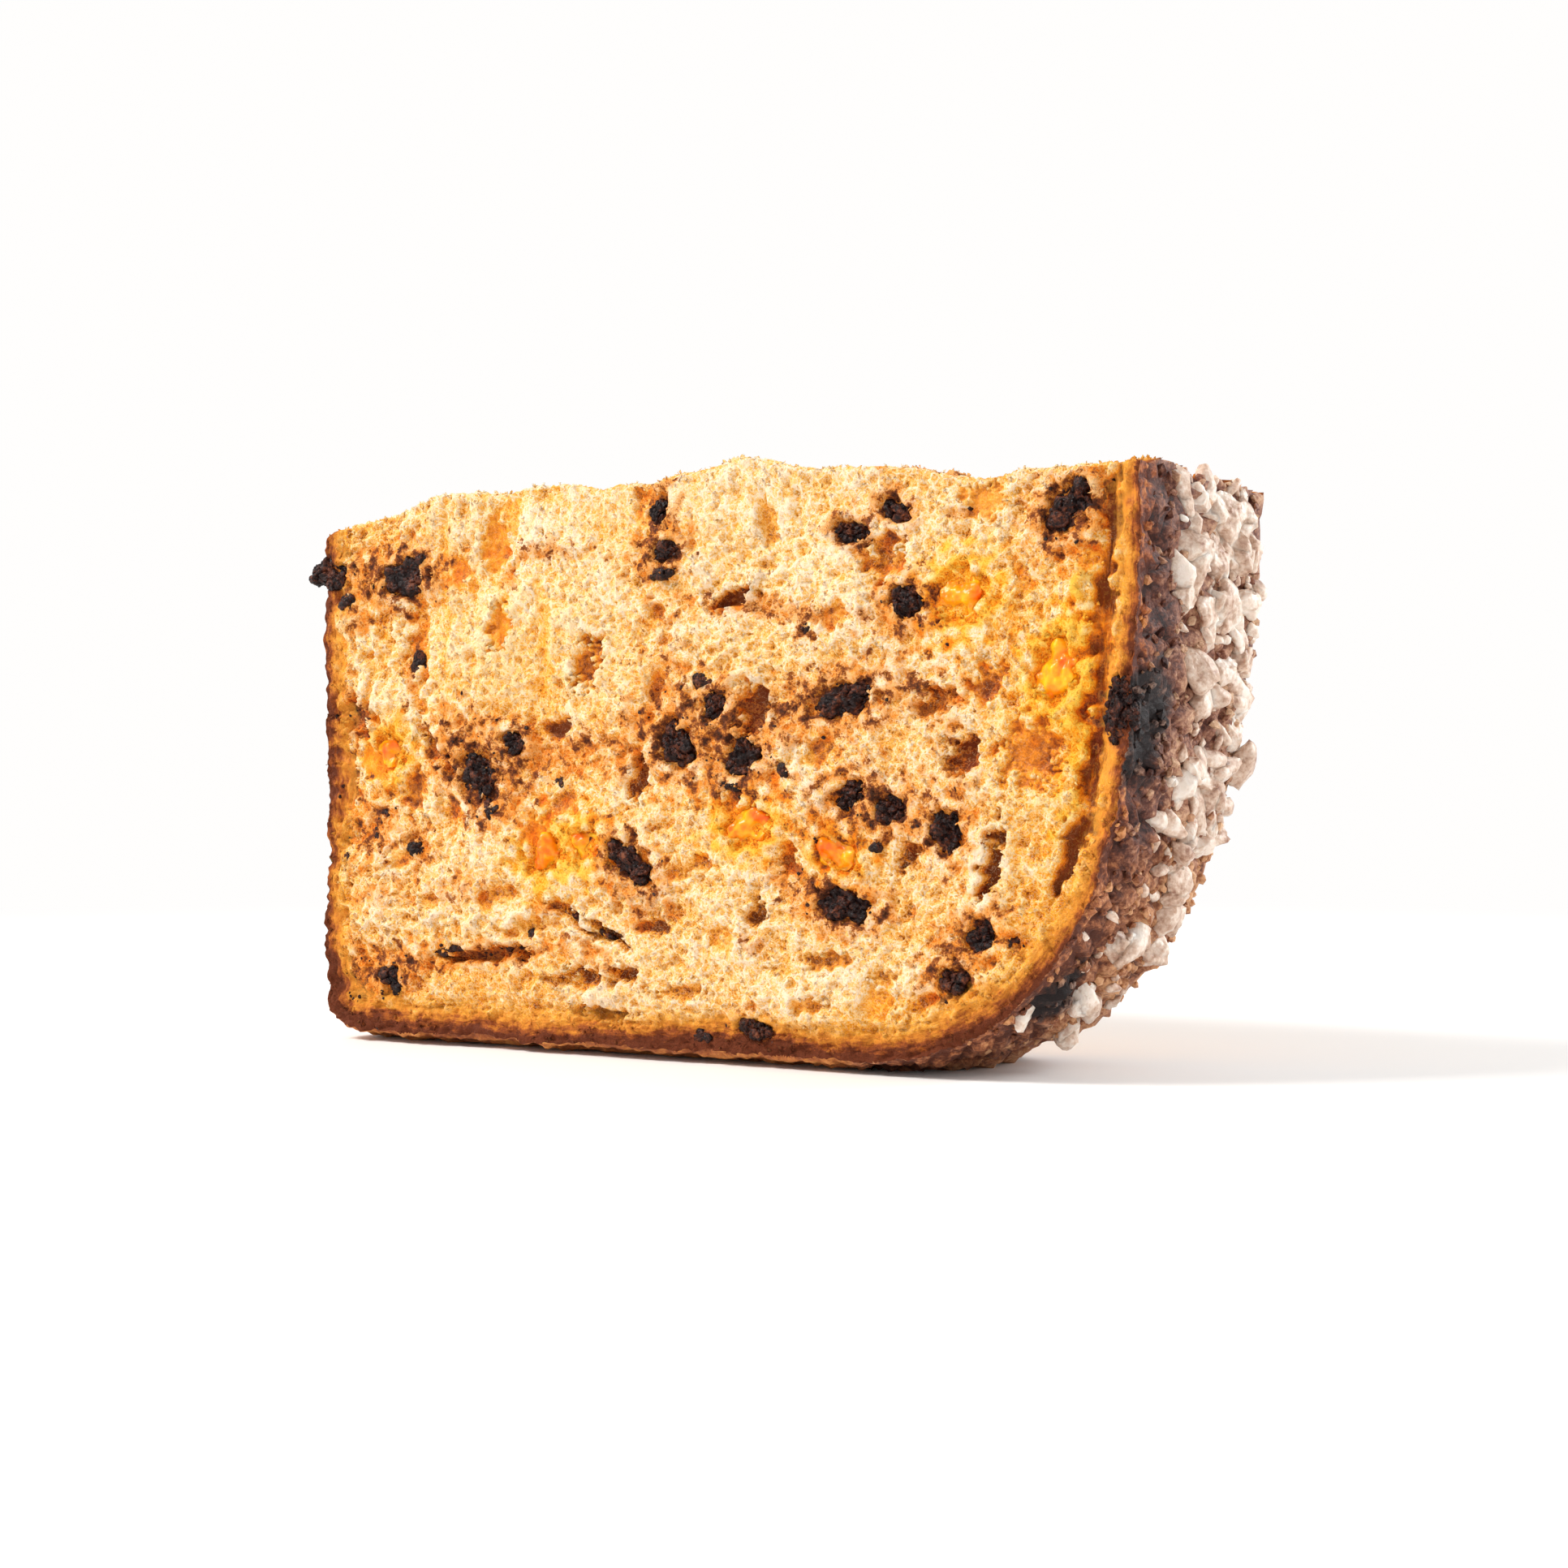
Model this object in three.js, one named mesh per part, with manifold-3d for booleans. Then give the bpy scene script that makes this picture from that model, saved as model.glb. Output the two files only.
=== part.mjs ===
// A thick slice of panettone, standing on its side crust.
//
// The loaf was baked in a round paper mould, domed and glazed, and sprinkled with pearl sugar.
// It was halved along its axis, and this slice was cut across one half. The loaf's axis runs along X,
// with the base at the low end and the dome at the high end. The near cut face looks along -Y, the far
// one along +Y, and the cut that halved the loaf is on top. Crumb and crust are one baked piece. The
// chocolate chunks, diced candied orange peel and sugar nibs are pieces of their own, set in sockets.
//
// Units are millimetres and +Z is up. While the slice is being made, x is 0 on the base crust and z is 0
// on the surface that the slice stands on. The last lines move the origin to the middle of its footprint.

import * as THREE from "three";
import { mergeVertices } from "three/addons/utils/BufferGeometryUtils.js";
import Module from "manifold-3d";

const wasm = await Module();
wasm.setup();

// ---- Driving dimensions ----

const LOAF_RADIUS = 86; // half the width of a round mould for a loaf of one kilogram
const WALL_LENGTH = 95; // base to where the dome begins
const DOME_RISE = 49; // dome height above the wall
const DOME_SHOULDER = 3.2; // how square the dome's shoulder is, seen across the loaf
const DOME_CROWN = 2.6; // how flat the dome's crown is
const BASE_CORNER = 6; // radius of the rounded corner at the base
const FLATTENED = 0.8; // how far the soft wall is pressed flat where the slice stands
const AXIS_HEIGHT = LOAF_RADIUS - FLATTENED;
const SLICE_HEIGHT = 86; // standing face to the cut that halved the loaf
const NEAR_FACE = -25; // y of the near cut
const FAR_FACE_TOP = 26; // y of the far cut at the top of the slice
const FAR_FACE_LEAN = 0.17; // the far cut leans in by this much for each millimetre down
const AXIS_Y = -4; // the loaf's axis is a little nearer to the near cut

const LATHE_STEPS = 72;
const DOME_STEPS = 20;
const CORNER_STEPS = 4;

const SOCKET_GAP = 0.4; // clearance round each piece that is set in the loaf
const CHUNK_PROUD = 1.2; // how far a chunk stands out of a cut face
const NIB_SUNK = 0.35; // share of a sugar nib's height that is sunk in the glaze

// ---- Materials ----

const bread = new THREE.MeshStandardMaterial({ color: 0xe9b76a, roughness: 0.9, metalness: 0 });
const chocolate = new THREE.MeshStandardMaterial({ color: 0x2a1612, roughness: 0.55, metalness: 0 });
const candiedPeel = new THREE.MeshStandardMaterial({ color: 0xf08a12, roughness: 0.35, metalness: 0 });
const pearlSugar = new THREE.MeshStandardMaterial({ color: 0xefe3d6, roughness: 0.4, metalness: 0 });

// ---- Where the pieces sit ----

// Chocolate in the near cut face: [x, z, length, width, tilt in degrees].
const NEAR_CHOCOLATE = [
  [0.8, 76.4, 9.0, 5.0, -5],
  [16.6, 75.3, 9.5, 6.0, 10],
  [31.6, 43.4, 11.0, 8.0, -65],
  [38.6, 48.6, 4.8, 3.6, -40],
  [66.0, 83.0, 4.4, 3.6, 20],
  [67.0, 77.0, 5.4, 3.8, 25],
  [69.4, 47.6, 8.8, 6.6, -62],
  [80.7, 46.2, 7.6, 6.0, 70],
  [76.0, 53.8, 4.8, 4.2, 80],
  [97.9, 54.2, 12.6, 6.0, 10],
  [99.2, 78.4, 6.0, 3.6, -10],
  [106.6, 80.8, 5.4, 3.4, -28],
  [108.5, 68.0, 6.2, 4.8, -40],
  [133.5, 79.8, 9.8, 7.0, 58],
  [98.9, 40.4, 5.6, 5.0, 60],
  [105.6, 38.4, 5.4, 4.6, 10],
  [114.7, 35.3, 7.0, 5.8, -75],
  [60.5, 30.0, 10.8, 5.2, -38],
  [97.9, 24.4, 10.0, 5.0, -12],
  [120.0, 20.6, 5.8, 4.6, 40],
  [115.6, 14.2, 5.6, 4.8, 60],
  [13.8, 10.4, 5.0, 4.4, -60],
  [82.8, 5.6, 7.0, 3.4, -8],
  [140.6, 52.2, 11.0, 5.4, 82],
];

// Chocolate in the far cut face: [x, z, length, width, tilt in degrees].
const FAR_CHOCOLATE = [
  [24, 66, 9.0, 6.0, 30],
  [47, 36, 10.0, 6.2, -20],
  [74, 70, 8.0, 5.6, 55],
  [92, 46, 11.0, 6.4, -35],
  [118, 64, 7.6, 5.4, 10],
];

// Chocolate in the top cut: [x, y].
const TOP_CHOCOLATE = [[96, 8]];

// Candied peel in the two cut faces: [x, z, length, width, tilt in degrees].
const NEAR_PEEL = [
  [117.0, 68.6, 8.0, 7.0, 25],
  [131.6, 57.8, 9.0, 5.6, 78],
  [81.7, 35.8, 7.0, 6.0, 15],
  [97.0, 31.6, 6.0, 5.0, -20],
  [52.4, 32.6, 5.6, 4.6, 60],
  [44.4, 31.2, 7.0, 5.6, 20],
  [13.4, 47.1, 6.0, 5.6, 30],
];
const FAR_PEEL = [
  [61, 55, 8.0, 6.4, 20],
  [104, 28, 7.0, 6.0, -30],
];

// Sugar nibs on the dome: [y, z, length, width].
const NIBS = [
  [-4.6, 82.4, 5.6, 3.6],
  [4.0, 80.6, 6.6, 5.4],
  [11.4, 81.6, 5.0, 4.2],
  [-5.4, 75.4, 5.0, 4.0],
  [2.2, 73.4, 5.4, 4.4],
  [9.6, 74.8, 5.8, 4.2],
  [17.2, 76.4, 5.2, 4.4],
  [-9.4, 68.4, 5.6, 3.8],
  [-2.2, 66.4, 6.2, 5.0],
  [5.8, 66.6, 5.6, 4.6],
  [14.2, 69.0, 6.0, 4.8],
  [6.4, 58.2, 5.2, 4.0],
  [14.4, 60.6, 5.2, 4.4],
  [12.6, 49.6, 5.4, 4.2],
  [-3.6, 44.0, 5.6, 4.6],
  [4.0, 42.6, 6.0, 5.0],
  [6.0, 33.4, 5.4, 4.4],
  [1.4, 26.8, 5.4, 4.6],
  [-5.2, 19.6, 5.2, 4.4],
  [3.4, 17.6, 5.8, 4.8],
];

// ---- Solids ----

function solidOf(geometry) {
  const bare = geometry.clone();
  bare.deleteAttribute("normal");
  bare.deleteAttribute("uv");
  const merged = mergeVertices(bare, 1e-4);
  return new wasm.Manifold(
    new wasm.Mesh({
      numProp: 3,
      vertProperties: new Float32Array(merged.attributes.position.array),
      triVerts: new Uint32Array(merged.index.array),
    }),
  );
}

function geometryOf(solid) {
  const mesh = solid.getMesh();
  const geometry = new THREE.BufferGeometry();
  geometry.setAttribute("position", new THREE.BufferAttribute(mesh.vertProperties, 3));
  geometry.setIndex(new THREE.BufferAttribute(mesh.triVerts, 1));
  geometry.computeVertexNormals();
  return geometry;
}

// ---- The loaf ----

// How far the dome stands above the base, at a distance from the loaf's axis.
function domeX(radius) {
  const share = Math.min(1, radius / LOAF_RADIUS);
  return WALL_LENGTH + DOME_RISE * (1 - share ** DOME_SHOULDER) ** (1 / DOME_CROWN);
}

// The loaf's outline, from the middle of its base round to the top of its dome.
function loafOutline() {
  const points = [new THREE.Vector2(0, 0)];
  for (let i = 0; i <= CORNER_STEPS; i++) {
    const turn = ((i / CORNER_STEPS) * Math.PI) / 2;
    const radius = LOAF_RADIUS - BASE_CORNER * (1 - Math.sin(turn));
    points.push(new THREE.Vector2(radius, BASE_CORNER * (1 - Math.cos(turn))));
  }
  for (let i = 0; i <= DOME_STEPS; i++) {
    const radius = LOAF_RADIUS * Math.cos(((i / DOME_STEPS) * Math.PI) / 2);
    points.push(new THREE.Vector2(i === DOME_STEPS ? 0 : radius, domeX(radius)));
  }
  return points;
}

function wholeLoaf() {
  const loaf = new THREE.LatheGeometry(loafOutline(), LATHE_STEPS);
  loaf.rotateZ(-Math.PI / 2);
  loaf.translate(0, AXIS_Y, AXIS_HEIGHT);
  return solidOf(loaf);
}

function farFace(z) {
  return FAR_FACE_TOP - (SLICE_HEIGHT - z) * FAR_FACE_LEAN;
}

// What the three cuts and the standing face leave: a prism along X.
function slab() {
  const section = new THREE.Shape([
    new THREE.Vector2(NEAR_FACE, 0),
    new THREE.Vector2(farFace(0), 0),
    new THREE.Vector2(farFace(SLICE_HEIGHT), SLICE_HEIGHT),
    new THREE.Vector2(NEAR_FACE, SLICE_HEIGHT),
  ]);
  const margin = 10;
  const prism = new THREE.ExtrudeGeometry(section, {
    depth: WALL_LENGTH + DOME_RISE + 2 * margin,
    bevelEnabled: false,
  });
  // The section was drawn in X and Y and extruded along Z: turn it to Y, Z and X.
  const turn = new THREE.Matrix4().makeBasis(
    new THREE.Vector3(0, 1, 0),
    new THREE.Vector3(0, 0, 1),
    new THREE.Vector3(1, 0, 0),
  );
  prism.applyMatrix4(turn);
  prism.translate(-margin, 0, 0);
  return solidOf(prism);
}

// ---- Pieces set in the loaf ----

// A broken, rounded lump with these half sizes. squareness 0 is round and 1 is a die.
function lump(halfLength, halfDepth, halfWidth, seed, squareness) {
  const geometry = mergeVertices(bareSphere(), 1e-4);
  const position = geometry.attributes.position;
  const point = new THREE.Vector3();
  for (let i = 0; i < position.count; i++) {
    point.fromBufferAttribute(position, i);
    const widest = Math.max(Math.abs(point.x), Math.abs(point.y), Math.abs(point.z));
    const ripple =
      Math.sin(4.1 * point.x + 1.7 * seed) +
      Math.sin(3.7 * point.y + 2.9 * seed) +
      Math.sin(4.6 * point.z + 4.3 * seed);
    point.multiplyScalar(widest ** (-0.6 * squareness) * (0.94 + 0.05 * ripple));
    position.setXYZ(i, point.x * halfLength, point.y * halfDepth, point.z * halfWidth);
  }
  return geometry;
}

function bareSphere() {
  const sphere = new THREE.IcosahedronGeometry(1, 1);
  sphere.deleteAttribute("normal");
  sphere.deleteAttribute("uv");
  return sphere;
}

const pieces = new THREE.Group();
let loafSolid = wholeLoaf().intersect(slab());

// Adds one piece with this place and turn, and cuts its socket in the loaf.
function setIn(name, material, halfSizes, matrix, seed, squareness = 0) {
  const [length, depth, width] = halfSizes;
  const mesh = new THREE.Mesh(lump(length, depth, width, seed, squareness), material);
  mesh.name = name;
  mesh.applyMatrix4(matrix);
  mesh.geometry.computeVertexNormals();
  pieces.add(mesh);
  const socket = lump(length + SOCKET_GAP, depth + SOCKET_GAP, width + SOCKET_GAP, seed, squareness);
  loafSolid = loafSolid.subtract(solidOf(socket.applyMatrix4(matrix)));
}

// The place of a piece in a cut face, whose inward direction along Y is +1 or -1.
function inCutFace(x, z, tilt, halfDepth, faceY, inward) {
  const matrix = new THREE.Matrix4().makeRotationY(-THREE.MathUtils.degToRad(tilt));
  return matrix.setPosition(x, faceY + inward * (halfDepth - CHUNK_PROUD), z);
}

function addToCutFace(prefix, list, material, isNear, squareness) {
  list.forEach(([x, z, length, width, tilt], i) => {
    const halfDepth = 0.45 * width + 0.4;
    const matrix = inCutFace(x, z, tilt, halfDepth, isNear ? NEAR_FACE : farFace(z), isNear ? 1 : -1);
    const name = `${prefix}_${String(i + 1).padStart(2, "0")}`;
    setIn(name, material, [length / 2, halfDepth, width / 2], matrix, x + z, squareness);
  });
}

addToCutFace("chocolate_near", NEAR_CHOCOLATE, chocolate, true, 0.2);
addToCutFace("chocolate_far", FAR_CHOCOLATE, chocolate, false, 0.2);
addToCutFace("orange_peel_near", NEAR_PEEL, candiedPeel, true, 0.7);
addToCutFace("orange_peel_far", FAR_PEEL, candiedPeel, false, 0.7);

TOP_CHOCOLATE.forEach(([x, y], i) => {
  const halfSizes = [4, 2.8, 2.8];
  const matrix = new THREE.Matrix4().makeTranslation(x, y, SLICE_HEIGHT + CHUNK_PROUD - halfSizes[2]);
  setIn(`chocolate_top_${String(i + 1).padStart(2, "0")}`, chocolate, halfSizes, matrix, x + y, 0.2);
});

// Sugar nibs lie on the dome, each with its thin way along the dome's normal.
NIBS.forEach(([y, z, length, width], i) => {
  const across = new THREE.Vector2(y - AXIS_Y, z - AXIS_HEIGHT);
  const radius = across.length();
  const slope = domeX(radius + 0.5) - domeX(radius - 0.5);
  const outward = across.clone().normalize().multiplyScalar(-slope);
  const normal = new THREE.Vector3(1, outward.x, outward.y).normalize();
  const halfSizes = [length / 2, 0.4 * width, width / 2];
  const lift = halfSizes[1] * (1 - 2 * NIB_SUNK);
  const place = new THREE.Vector3(domeX(radius), y, z).addScaledVector(normal, lift);
  const turn = new THREE.Quaternion().setFromUnitVectors(new THREE.Vector3(0, 1, 0), normal);
  const spin = new THREE.Quaternion().setFromAxisAngle(new THREE.Vector3(0, 1, 0), 1.9 * i);
  const matrix = new THREE.Matrix4().compose(place, turn.multiply(spin), new THREE.Vector3(1, 1, 1));
  setIn(`sugar_nib_${String(i + 1).padStart(2, "0")}`, pearlSugar, halfSizes, matrix, 3 * i + 1, 0.4);
});

const loafMesh = new THREE.Mesh(geometryOf(loafSolid), bread);
loafMesh.name = "panettone_slice";
pieces.add(loafMesh);

// ---- The finished slice, with its origin under the middle of its bounding box ----

const size = new THREE.Box3().setFromObject(pieces, true);
const middle = size.getCenter(new THREE.Vector3());
pieces.position.set(-middle.x, -middle.y, -size.min.z);

export default pieces;
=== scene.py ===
# %% [markdown]
# # A slice of panettone
# Panettone is a tall, domed sweet bread, baked in a round paper mould. This slice comes from half a loaf.
# It stands on its side crust, with the flat base at one end and the glazed, sugared dome at the other. The
# loaf's axis runs along X.
#
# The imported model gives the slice's true size and place, and every chunk, peel and nib in it. Here each of
# them gets its real surface. Lengths are written in millimetres and turned into metres at the end.

# %% Load the frame
import math

import bpy
import numpy as np

from mathutils.kdtree import KDTree
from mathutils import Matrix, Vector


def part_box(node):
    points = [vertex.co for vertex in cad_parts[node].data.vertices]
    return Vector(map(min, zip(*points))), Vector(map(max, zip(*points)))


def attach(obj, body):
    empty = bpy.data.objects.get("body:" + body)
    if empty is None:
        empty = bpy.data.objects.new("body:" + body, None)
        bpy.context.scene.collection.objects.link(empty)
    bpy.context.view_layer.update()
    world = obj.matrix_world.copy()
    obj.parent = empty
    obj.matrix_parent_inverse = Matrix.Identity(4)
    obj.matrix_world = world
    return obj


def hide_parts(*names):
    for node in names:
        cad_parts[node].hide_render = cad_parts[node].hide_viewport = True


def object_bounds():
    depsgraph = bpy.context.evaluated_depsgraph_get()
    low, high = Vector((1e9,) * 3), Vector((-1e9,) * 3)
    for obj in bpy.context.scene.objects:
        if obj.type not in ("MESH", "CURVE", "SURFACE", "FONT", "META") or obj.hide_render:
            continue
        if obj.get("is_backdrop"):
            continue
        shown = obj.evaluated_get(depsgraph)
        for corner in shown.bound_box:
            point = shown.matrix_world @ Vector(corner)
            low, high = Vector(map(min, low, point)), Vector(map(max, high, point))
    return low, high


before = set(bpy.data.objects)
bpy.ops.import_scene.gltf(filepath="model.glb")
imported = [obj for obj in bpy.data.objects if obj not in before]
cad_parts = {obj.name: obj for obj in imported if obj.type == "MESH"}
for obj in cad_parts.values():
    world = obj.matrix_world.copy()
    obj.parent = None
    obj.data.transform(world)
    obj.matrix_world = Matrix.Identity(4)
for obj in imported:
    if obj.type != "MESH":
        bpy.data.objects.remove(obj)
cad_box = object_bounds()
MM = 0.001
slice_low, slice_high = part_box("panettone_slice")
ORIGIN = np.array([slice_low[0], slice_low[1], 0.0])  # base crust, near cut, standing surface
TOP = slice_high[2] / MM
THICK = (slice_high[1] - slice_low[1]) / MM
print("slice", [round((b - a) / MM, 1) for a, b in zip(slice_low, slice_high)], "mm")

# %% [markdown]
# ## The camera and the light
# The slice is seen from the height of its middle and about 31 degrees round towards the dome, so the near
# cut face, the crust's edge and a strip of the dome show. A long lens keeps the perspective gentle. Bread
# needs soft, bright light: one large lamp from the upper left, a weaker one from the right that picks out
# the dome's rough glaze, and a white room that fills the pores.

# %% Camera
EYE = np.array([270.2, -306.6, 42.0])  # millimetres from the base, from the near cut and above the floor
EYE_TURN = math.radians(30.7)
eye_place = ORIGIN + EYE * MM
bpy.ops.object.select_all(action="DESELECT")
bpy.ops.object.camera_add(location=eye_place, rotation=(math.pi / 2, 0, EYE_TURN))
camera = bpy.context.object
camera.name = "studio_camera"
camera.data.lens = 55.9
camera.data.sensor_width = 36
camera.data.clip_start = 0.01
camera.data.clip_end = 20
bpy.context.scene.camera = camera
print("camera at", [round(c, 3) for c in eye_place])

# %% White room
WARM_WHITE = (1.0, 0.99, 0.98, 1)
ROOM_GLOW = (0.32, 0.75, 1.0, 0.5)  # between these two heights of the sky it falls from 1.0 to 0.5
room = bpy.data.worlds.new("white_room")
bpy.context.scene.world = room
room.use_nodes = True
backdrop = room.node_tree.nodes["Background"]
backdrop.inputs["Color"].default_value = WARM_WHITE
towards = room.node_tree.nodes.new("ShaderNodeTexCoord")
height = room.node_tree.nodes.new("ShaderNodeSeparateXYZ")
ceiling = room.node_tree.nodes.new("ShaderNodeMapRange")
for number, value in enumerate(ROOM_GLOW, 1):
    ceiling.inputs[number].default_value = value
room.node_tree.links.new(towards.outputs["Generated"], height.inputs[0])
room.node_tree.links.new(height.outputs["Z"], ceiling.inputs[0])
room.node_tree.links.new(ceiling.outputs[0], backdrop.inputs["Strength"])
bpy.context.scene.view_settings.view_transform = "Standard"
print("room glow", ROOM_GLOW[2], "low down and", ROOM_GLOW[3], "above")


# %% Soft lamps
def soft_lamp(name, place, size, watts, colour):
    """Adds a square lamp that points at the middle of the slice. place and size are in metres."""
    bpy.ops.object.light_add(type="AREA", location=place)
    lamp = bpy.context.object
    lamp.name = name
    lamp.data.size = size
    lamp.data.energy = watts
    lamp.data.color = colour
    middle = (slice_low + slice_high) / 2
    lamp.rotation_euler = (middle - lamp.location).to_track_quat("-Z", "Y").to_euler()
    return lamp


key_lamp = soft_lamp("key_lamp", (-0.55, -0.6, 0.9), 0.4, 14.3, (1.0, 0.98, 0.95))
rim_lamp = soft_lamp("rim_lamp", (0.7, 0.6, 0.5), 0.5, 7, (0.96, 0.98, 1.0))
print(key_lamp.name, "and", rim_lamp.name)

# %% [markdown]
# ## The floor
# A plain pale floor. Near the slice it takes a soft shadow, and further out it fades into the room's white,
# so no horizon crosses the picture.

# %% Floor
FLOOR_RADIUS = 6.0  # metres
FLOOR_FADE = (0.16, 0.5)  # metres from the middle where the floor starts and ends its fade to white
bpy.ops.object.select_all(action="DESELECT")
bpy.ops.mesh.primitive_circle_add(vertices=96, radius=FLOOR_RADIUS, fill_type="NGON", location=(0, 0, 0))
floor = bpy.context.object
floor.name = "studio_floor"
print("floor", 2 * FLOOR_RADIUS, "metres across")


# %% Node helpers
def new_material(name):
    """Adds a material whose nodes are its output and a Principled shader. Returns it and the shader."""
    material = bpy.data.materials.new(name)
    material.use_nodes = True
    return material, material.node_tree.nodes["Principled BSDF"]


class Nodes:
    """Short ways to add nodes to one material."""

    def __init__(self, material):
        self.tree = material.node_tree
        self.place = self.add("ShaderNodeTexCoord").outputs["Object"]

    def add(self, kind, **values):
        node = self.tree.nodes.new(kind)
        for key, value in values.items():
            setattr(node, key, value)
        return node

    def feed(self, source, socket):
        if hasattr(source, "links"):
            self.tree.links.new(source, socket)
        else:
            socket.default_value = source

    def attribute(self, name):
        return self.add("ShaderNodeAttribute", attribute_name=name).outputs["Fac"]

    def math(self, operation, a, b=0.0, c=0.0):
        node = self.add("ShaderNodeMath", operation=operation)
        for source, socket in zip((a, b, c), node.inputs):
            self.feed(source, socket)
        return node.outputs[0]

    def times(self, a, b):
        return self.math("MULTIPLY", a, b)

    def plus(self, base, value, amount):
        """base plus value times amount."""
        return self.math("MULTIPLY_ADD", value, amount, base)

    def noise(self, size, detail=3.0, roughness=0.55, place=None):
        """Cloudy noise whose features are about size millimetres across."""
        node = self.add("ShaderNodeTexNoise")
        self.feed(place or self.place, node.inputs["Vector"])
        node.inputs["Scale"].default_value = 1 / (size * MM)
        node.inputs["Detail"].default_value = detail
        node.inputs["Roughness"].default_value = roughness
        return node.outputs["Fac"]

    def drift(self, size, detail=3.0, roughness=0.55, place=None):
        """The same noise with its middle at zero."""
        return self.math("SUBTRACT", self.noise(size, detail, roughness, place), 0.5)

    def cells(self, size):
        """Distance to the nearest of many points about size millimetres apart."""
        node = self.add("ShaderNodeTexVoronoi", feature="F1")
        self.feed(self.place, node.inputs["Vector"])
        node.inputs["Scale"].default_value = 1 / (size * MM)
        return node.outputs["Distance"]

    def foam(self, size, wall):
        """Ragged thin walls between bubbles about size millimetres apart: 1 on a wall, 0 in a bubble."""
        drift = self.add("ShaderNodeTexNoise")
        self.feed(self.place, drift.inputs["Vector"])
        drift.inputs["Scale"].default_value = 1 / (0.9 * size * MM)
        drift.inputs["Detail"].default_value = 4
        bent = self.add("ShaderNodeVectorMath", operation="MULTIPLY_ADD")
        self.feed(drift.outputs["Color"], bent.inputs[0])
        bent.inputs[1].default_value = (1.5 * size * MM,) * 3
        self.feed(self.place, bent.inputs[2])
        node = self.add("ShaderNodeTexVoronoi", feature="DISTANCE_TO_EDGE")
        self.feed(bent.outputs[0], node.inputs["Vector"])
        node.inputs["Scale"].default_value = 1 / (size * MM)
        return self.span(node.outputs["Distance"], wall, 0.0)

    def vector(self, x, y, z):
        node = self.add("ShaderNodeCombineXYZ")
        for source, socket in zip((x, y, z), node.inputs):
            self.feed(source, socket)
        return node.outputs[0]

    def span(self, value, low, high, to_low=0.0, to_high=1.0):
        """A value that goes from low to high, turned smoothly into one that goes from to_low to to_high."""
        node = self.add("ShaderNodeMapRange", interpolation_type="SMOOTHSTEP")
        for source, socket in zip((value, low, high, to_low, to_high), node.inputs):
            self.feed(source, socket)
        return node.outputs[0]

    def ramp(self, value, stops):
        """Colours along a value. stops are (place, (red, green, blue)) in linear colour."""
        node = self.add("ShaderNodeValToRGB")
        points = node.color_ramp.elements
        while len(points) < len(stops):
            points.new(0.5)
        for point, (place, colour) in zip(points, stops):
            point.position = place
            point.color = (*colour, 1)
        self.feed(value, node.inputs["Fac"])
        return node.outputs["Color"]

    def mix(self, share, first, second, blend="MIX"):
        node = self.add("ShaderNodeMix", data_type="RGBA", blend_type=blend)
        self.feed(share, node.inputs["Factor"])
        for source, socket in ((first, node.inputs[6]), (second, node.inputs[7])):
            self.feed((*source, 1) if isinstance(source, tuple) else source, socket)
        return node.outputs[2]

    def bump(self, height, distance, strength, under=None):
        """A bump whose height of 1 is distance millimetres, over another one if it is given."""
        node = self.add("ShaderNodeBump")
        node.inputs["Distance"].default_value = distance * MM
        self.feed(strength, node.inputs["Strength"])
        self.feed(height, node.inputs["Height"])
        if under:
            self.feed(under, node.inputs["Normal"])
        return node.outputs["Normal"]


# %% Floor material
floor_paint, floor_shader = new_material("pale_floor")
paint = Nodes(floor_paint)
distance = paint.add("ShaderNodeVectorMath", operation="LENGTH")
paint.feed(paint.place, distance.inputs[0])
faraway = paint.span(distance.outputs["Value"], *FLOOR_FADE)
floor_shader.inputs["Base Color"].default_value = (0.93, 0.92, 0.905, 1)
floor_shader.inputs["Roughness"].default_value = 0.7
glow = paint.add("ShaderNodeEmission")
glow.inputs["Color"].default_value = WARM_WHITE
glow.inputs["Strength"].default_value = 1.0
blend = paint.add("ShaderNodeMixShader")
paint.feed(faraway, blend.inputs[0])
paint.feed(floor_shader.outputs[0], blend.inputs[1])
paint.feed(glow.outputs[0], blend.inputs[2])
paint.feed(blend.outputs[0], floor_paint.node_tree.nodes["Material Output"].inputs["Surface"])
floor.data.materials.append(floor_paint)
floor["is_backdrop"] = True
print("the floor is plain up to", FLOOR_FADE[0], "metres out, and white from", FLOOR_FADE[1])

# %% [markdown]
# ## The loaf's outline
# Every outer surface of the slice belongs to the whole loaf, which is a shape turned on a lathe. One
# outline, from the middle of the base round to the top of the dome, gives them all. The same numbers as in
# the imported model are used, so the bread fits its box.

# %% Outline of the loaf
LOAF_RADIUS = 86.0
WALL_LENGTH = 95.0
DOME_RISE = 49.0
BASE_CORNER = 6.0
AXIS_V = 21.0  # the loaf's axis, from the near cut
AXIS_Z = 85.2  # the loaf's axis, above the floor
FAR_LEAN = 0.17  # the far cut leans in by this much for each millimetre down


def dome_x(radius):
    """How far the dome's surface is from the base, at a distance from the loaf's axis."""
    share = np.clip(radius / LOAF_RADIUS, 0, 1)
    return WALL_LENGTH + DOME_RISE * (1 - share**3.2) ** (1 / 2.6)


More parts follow.
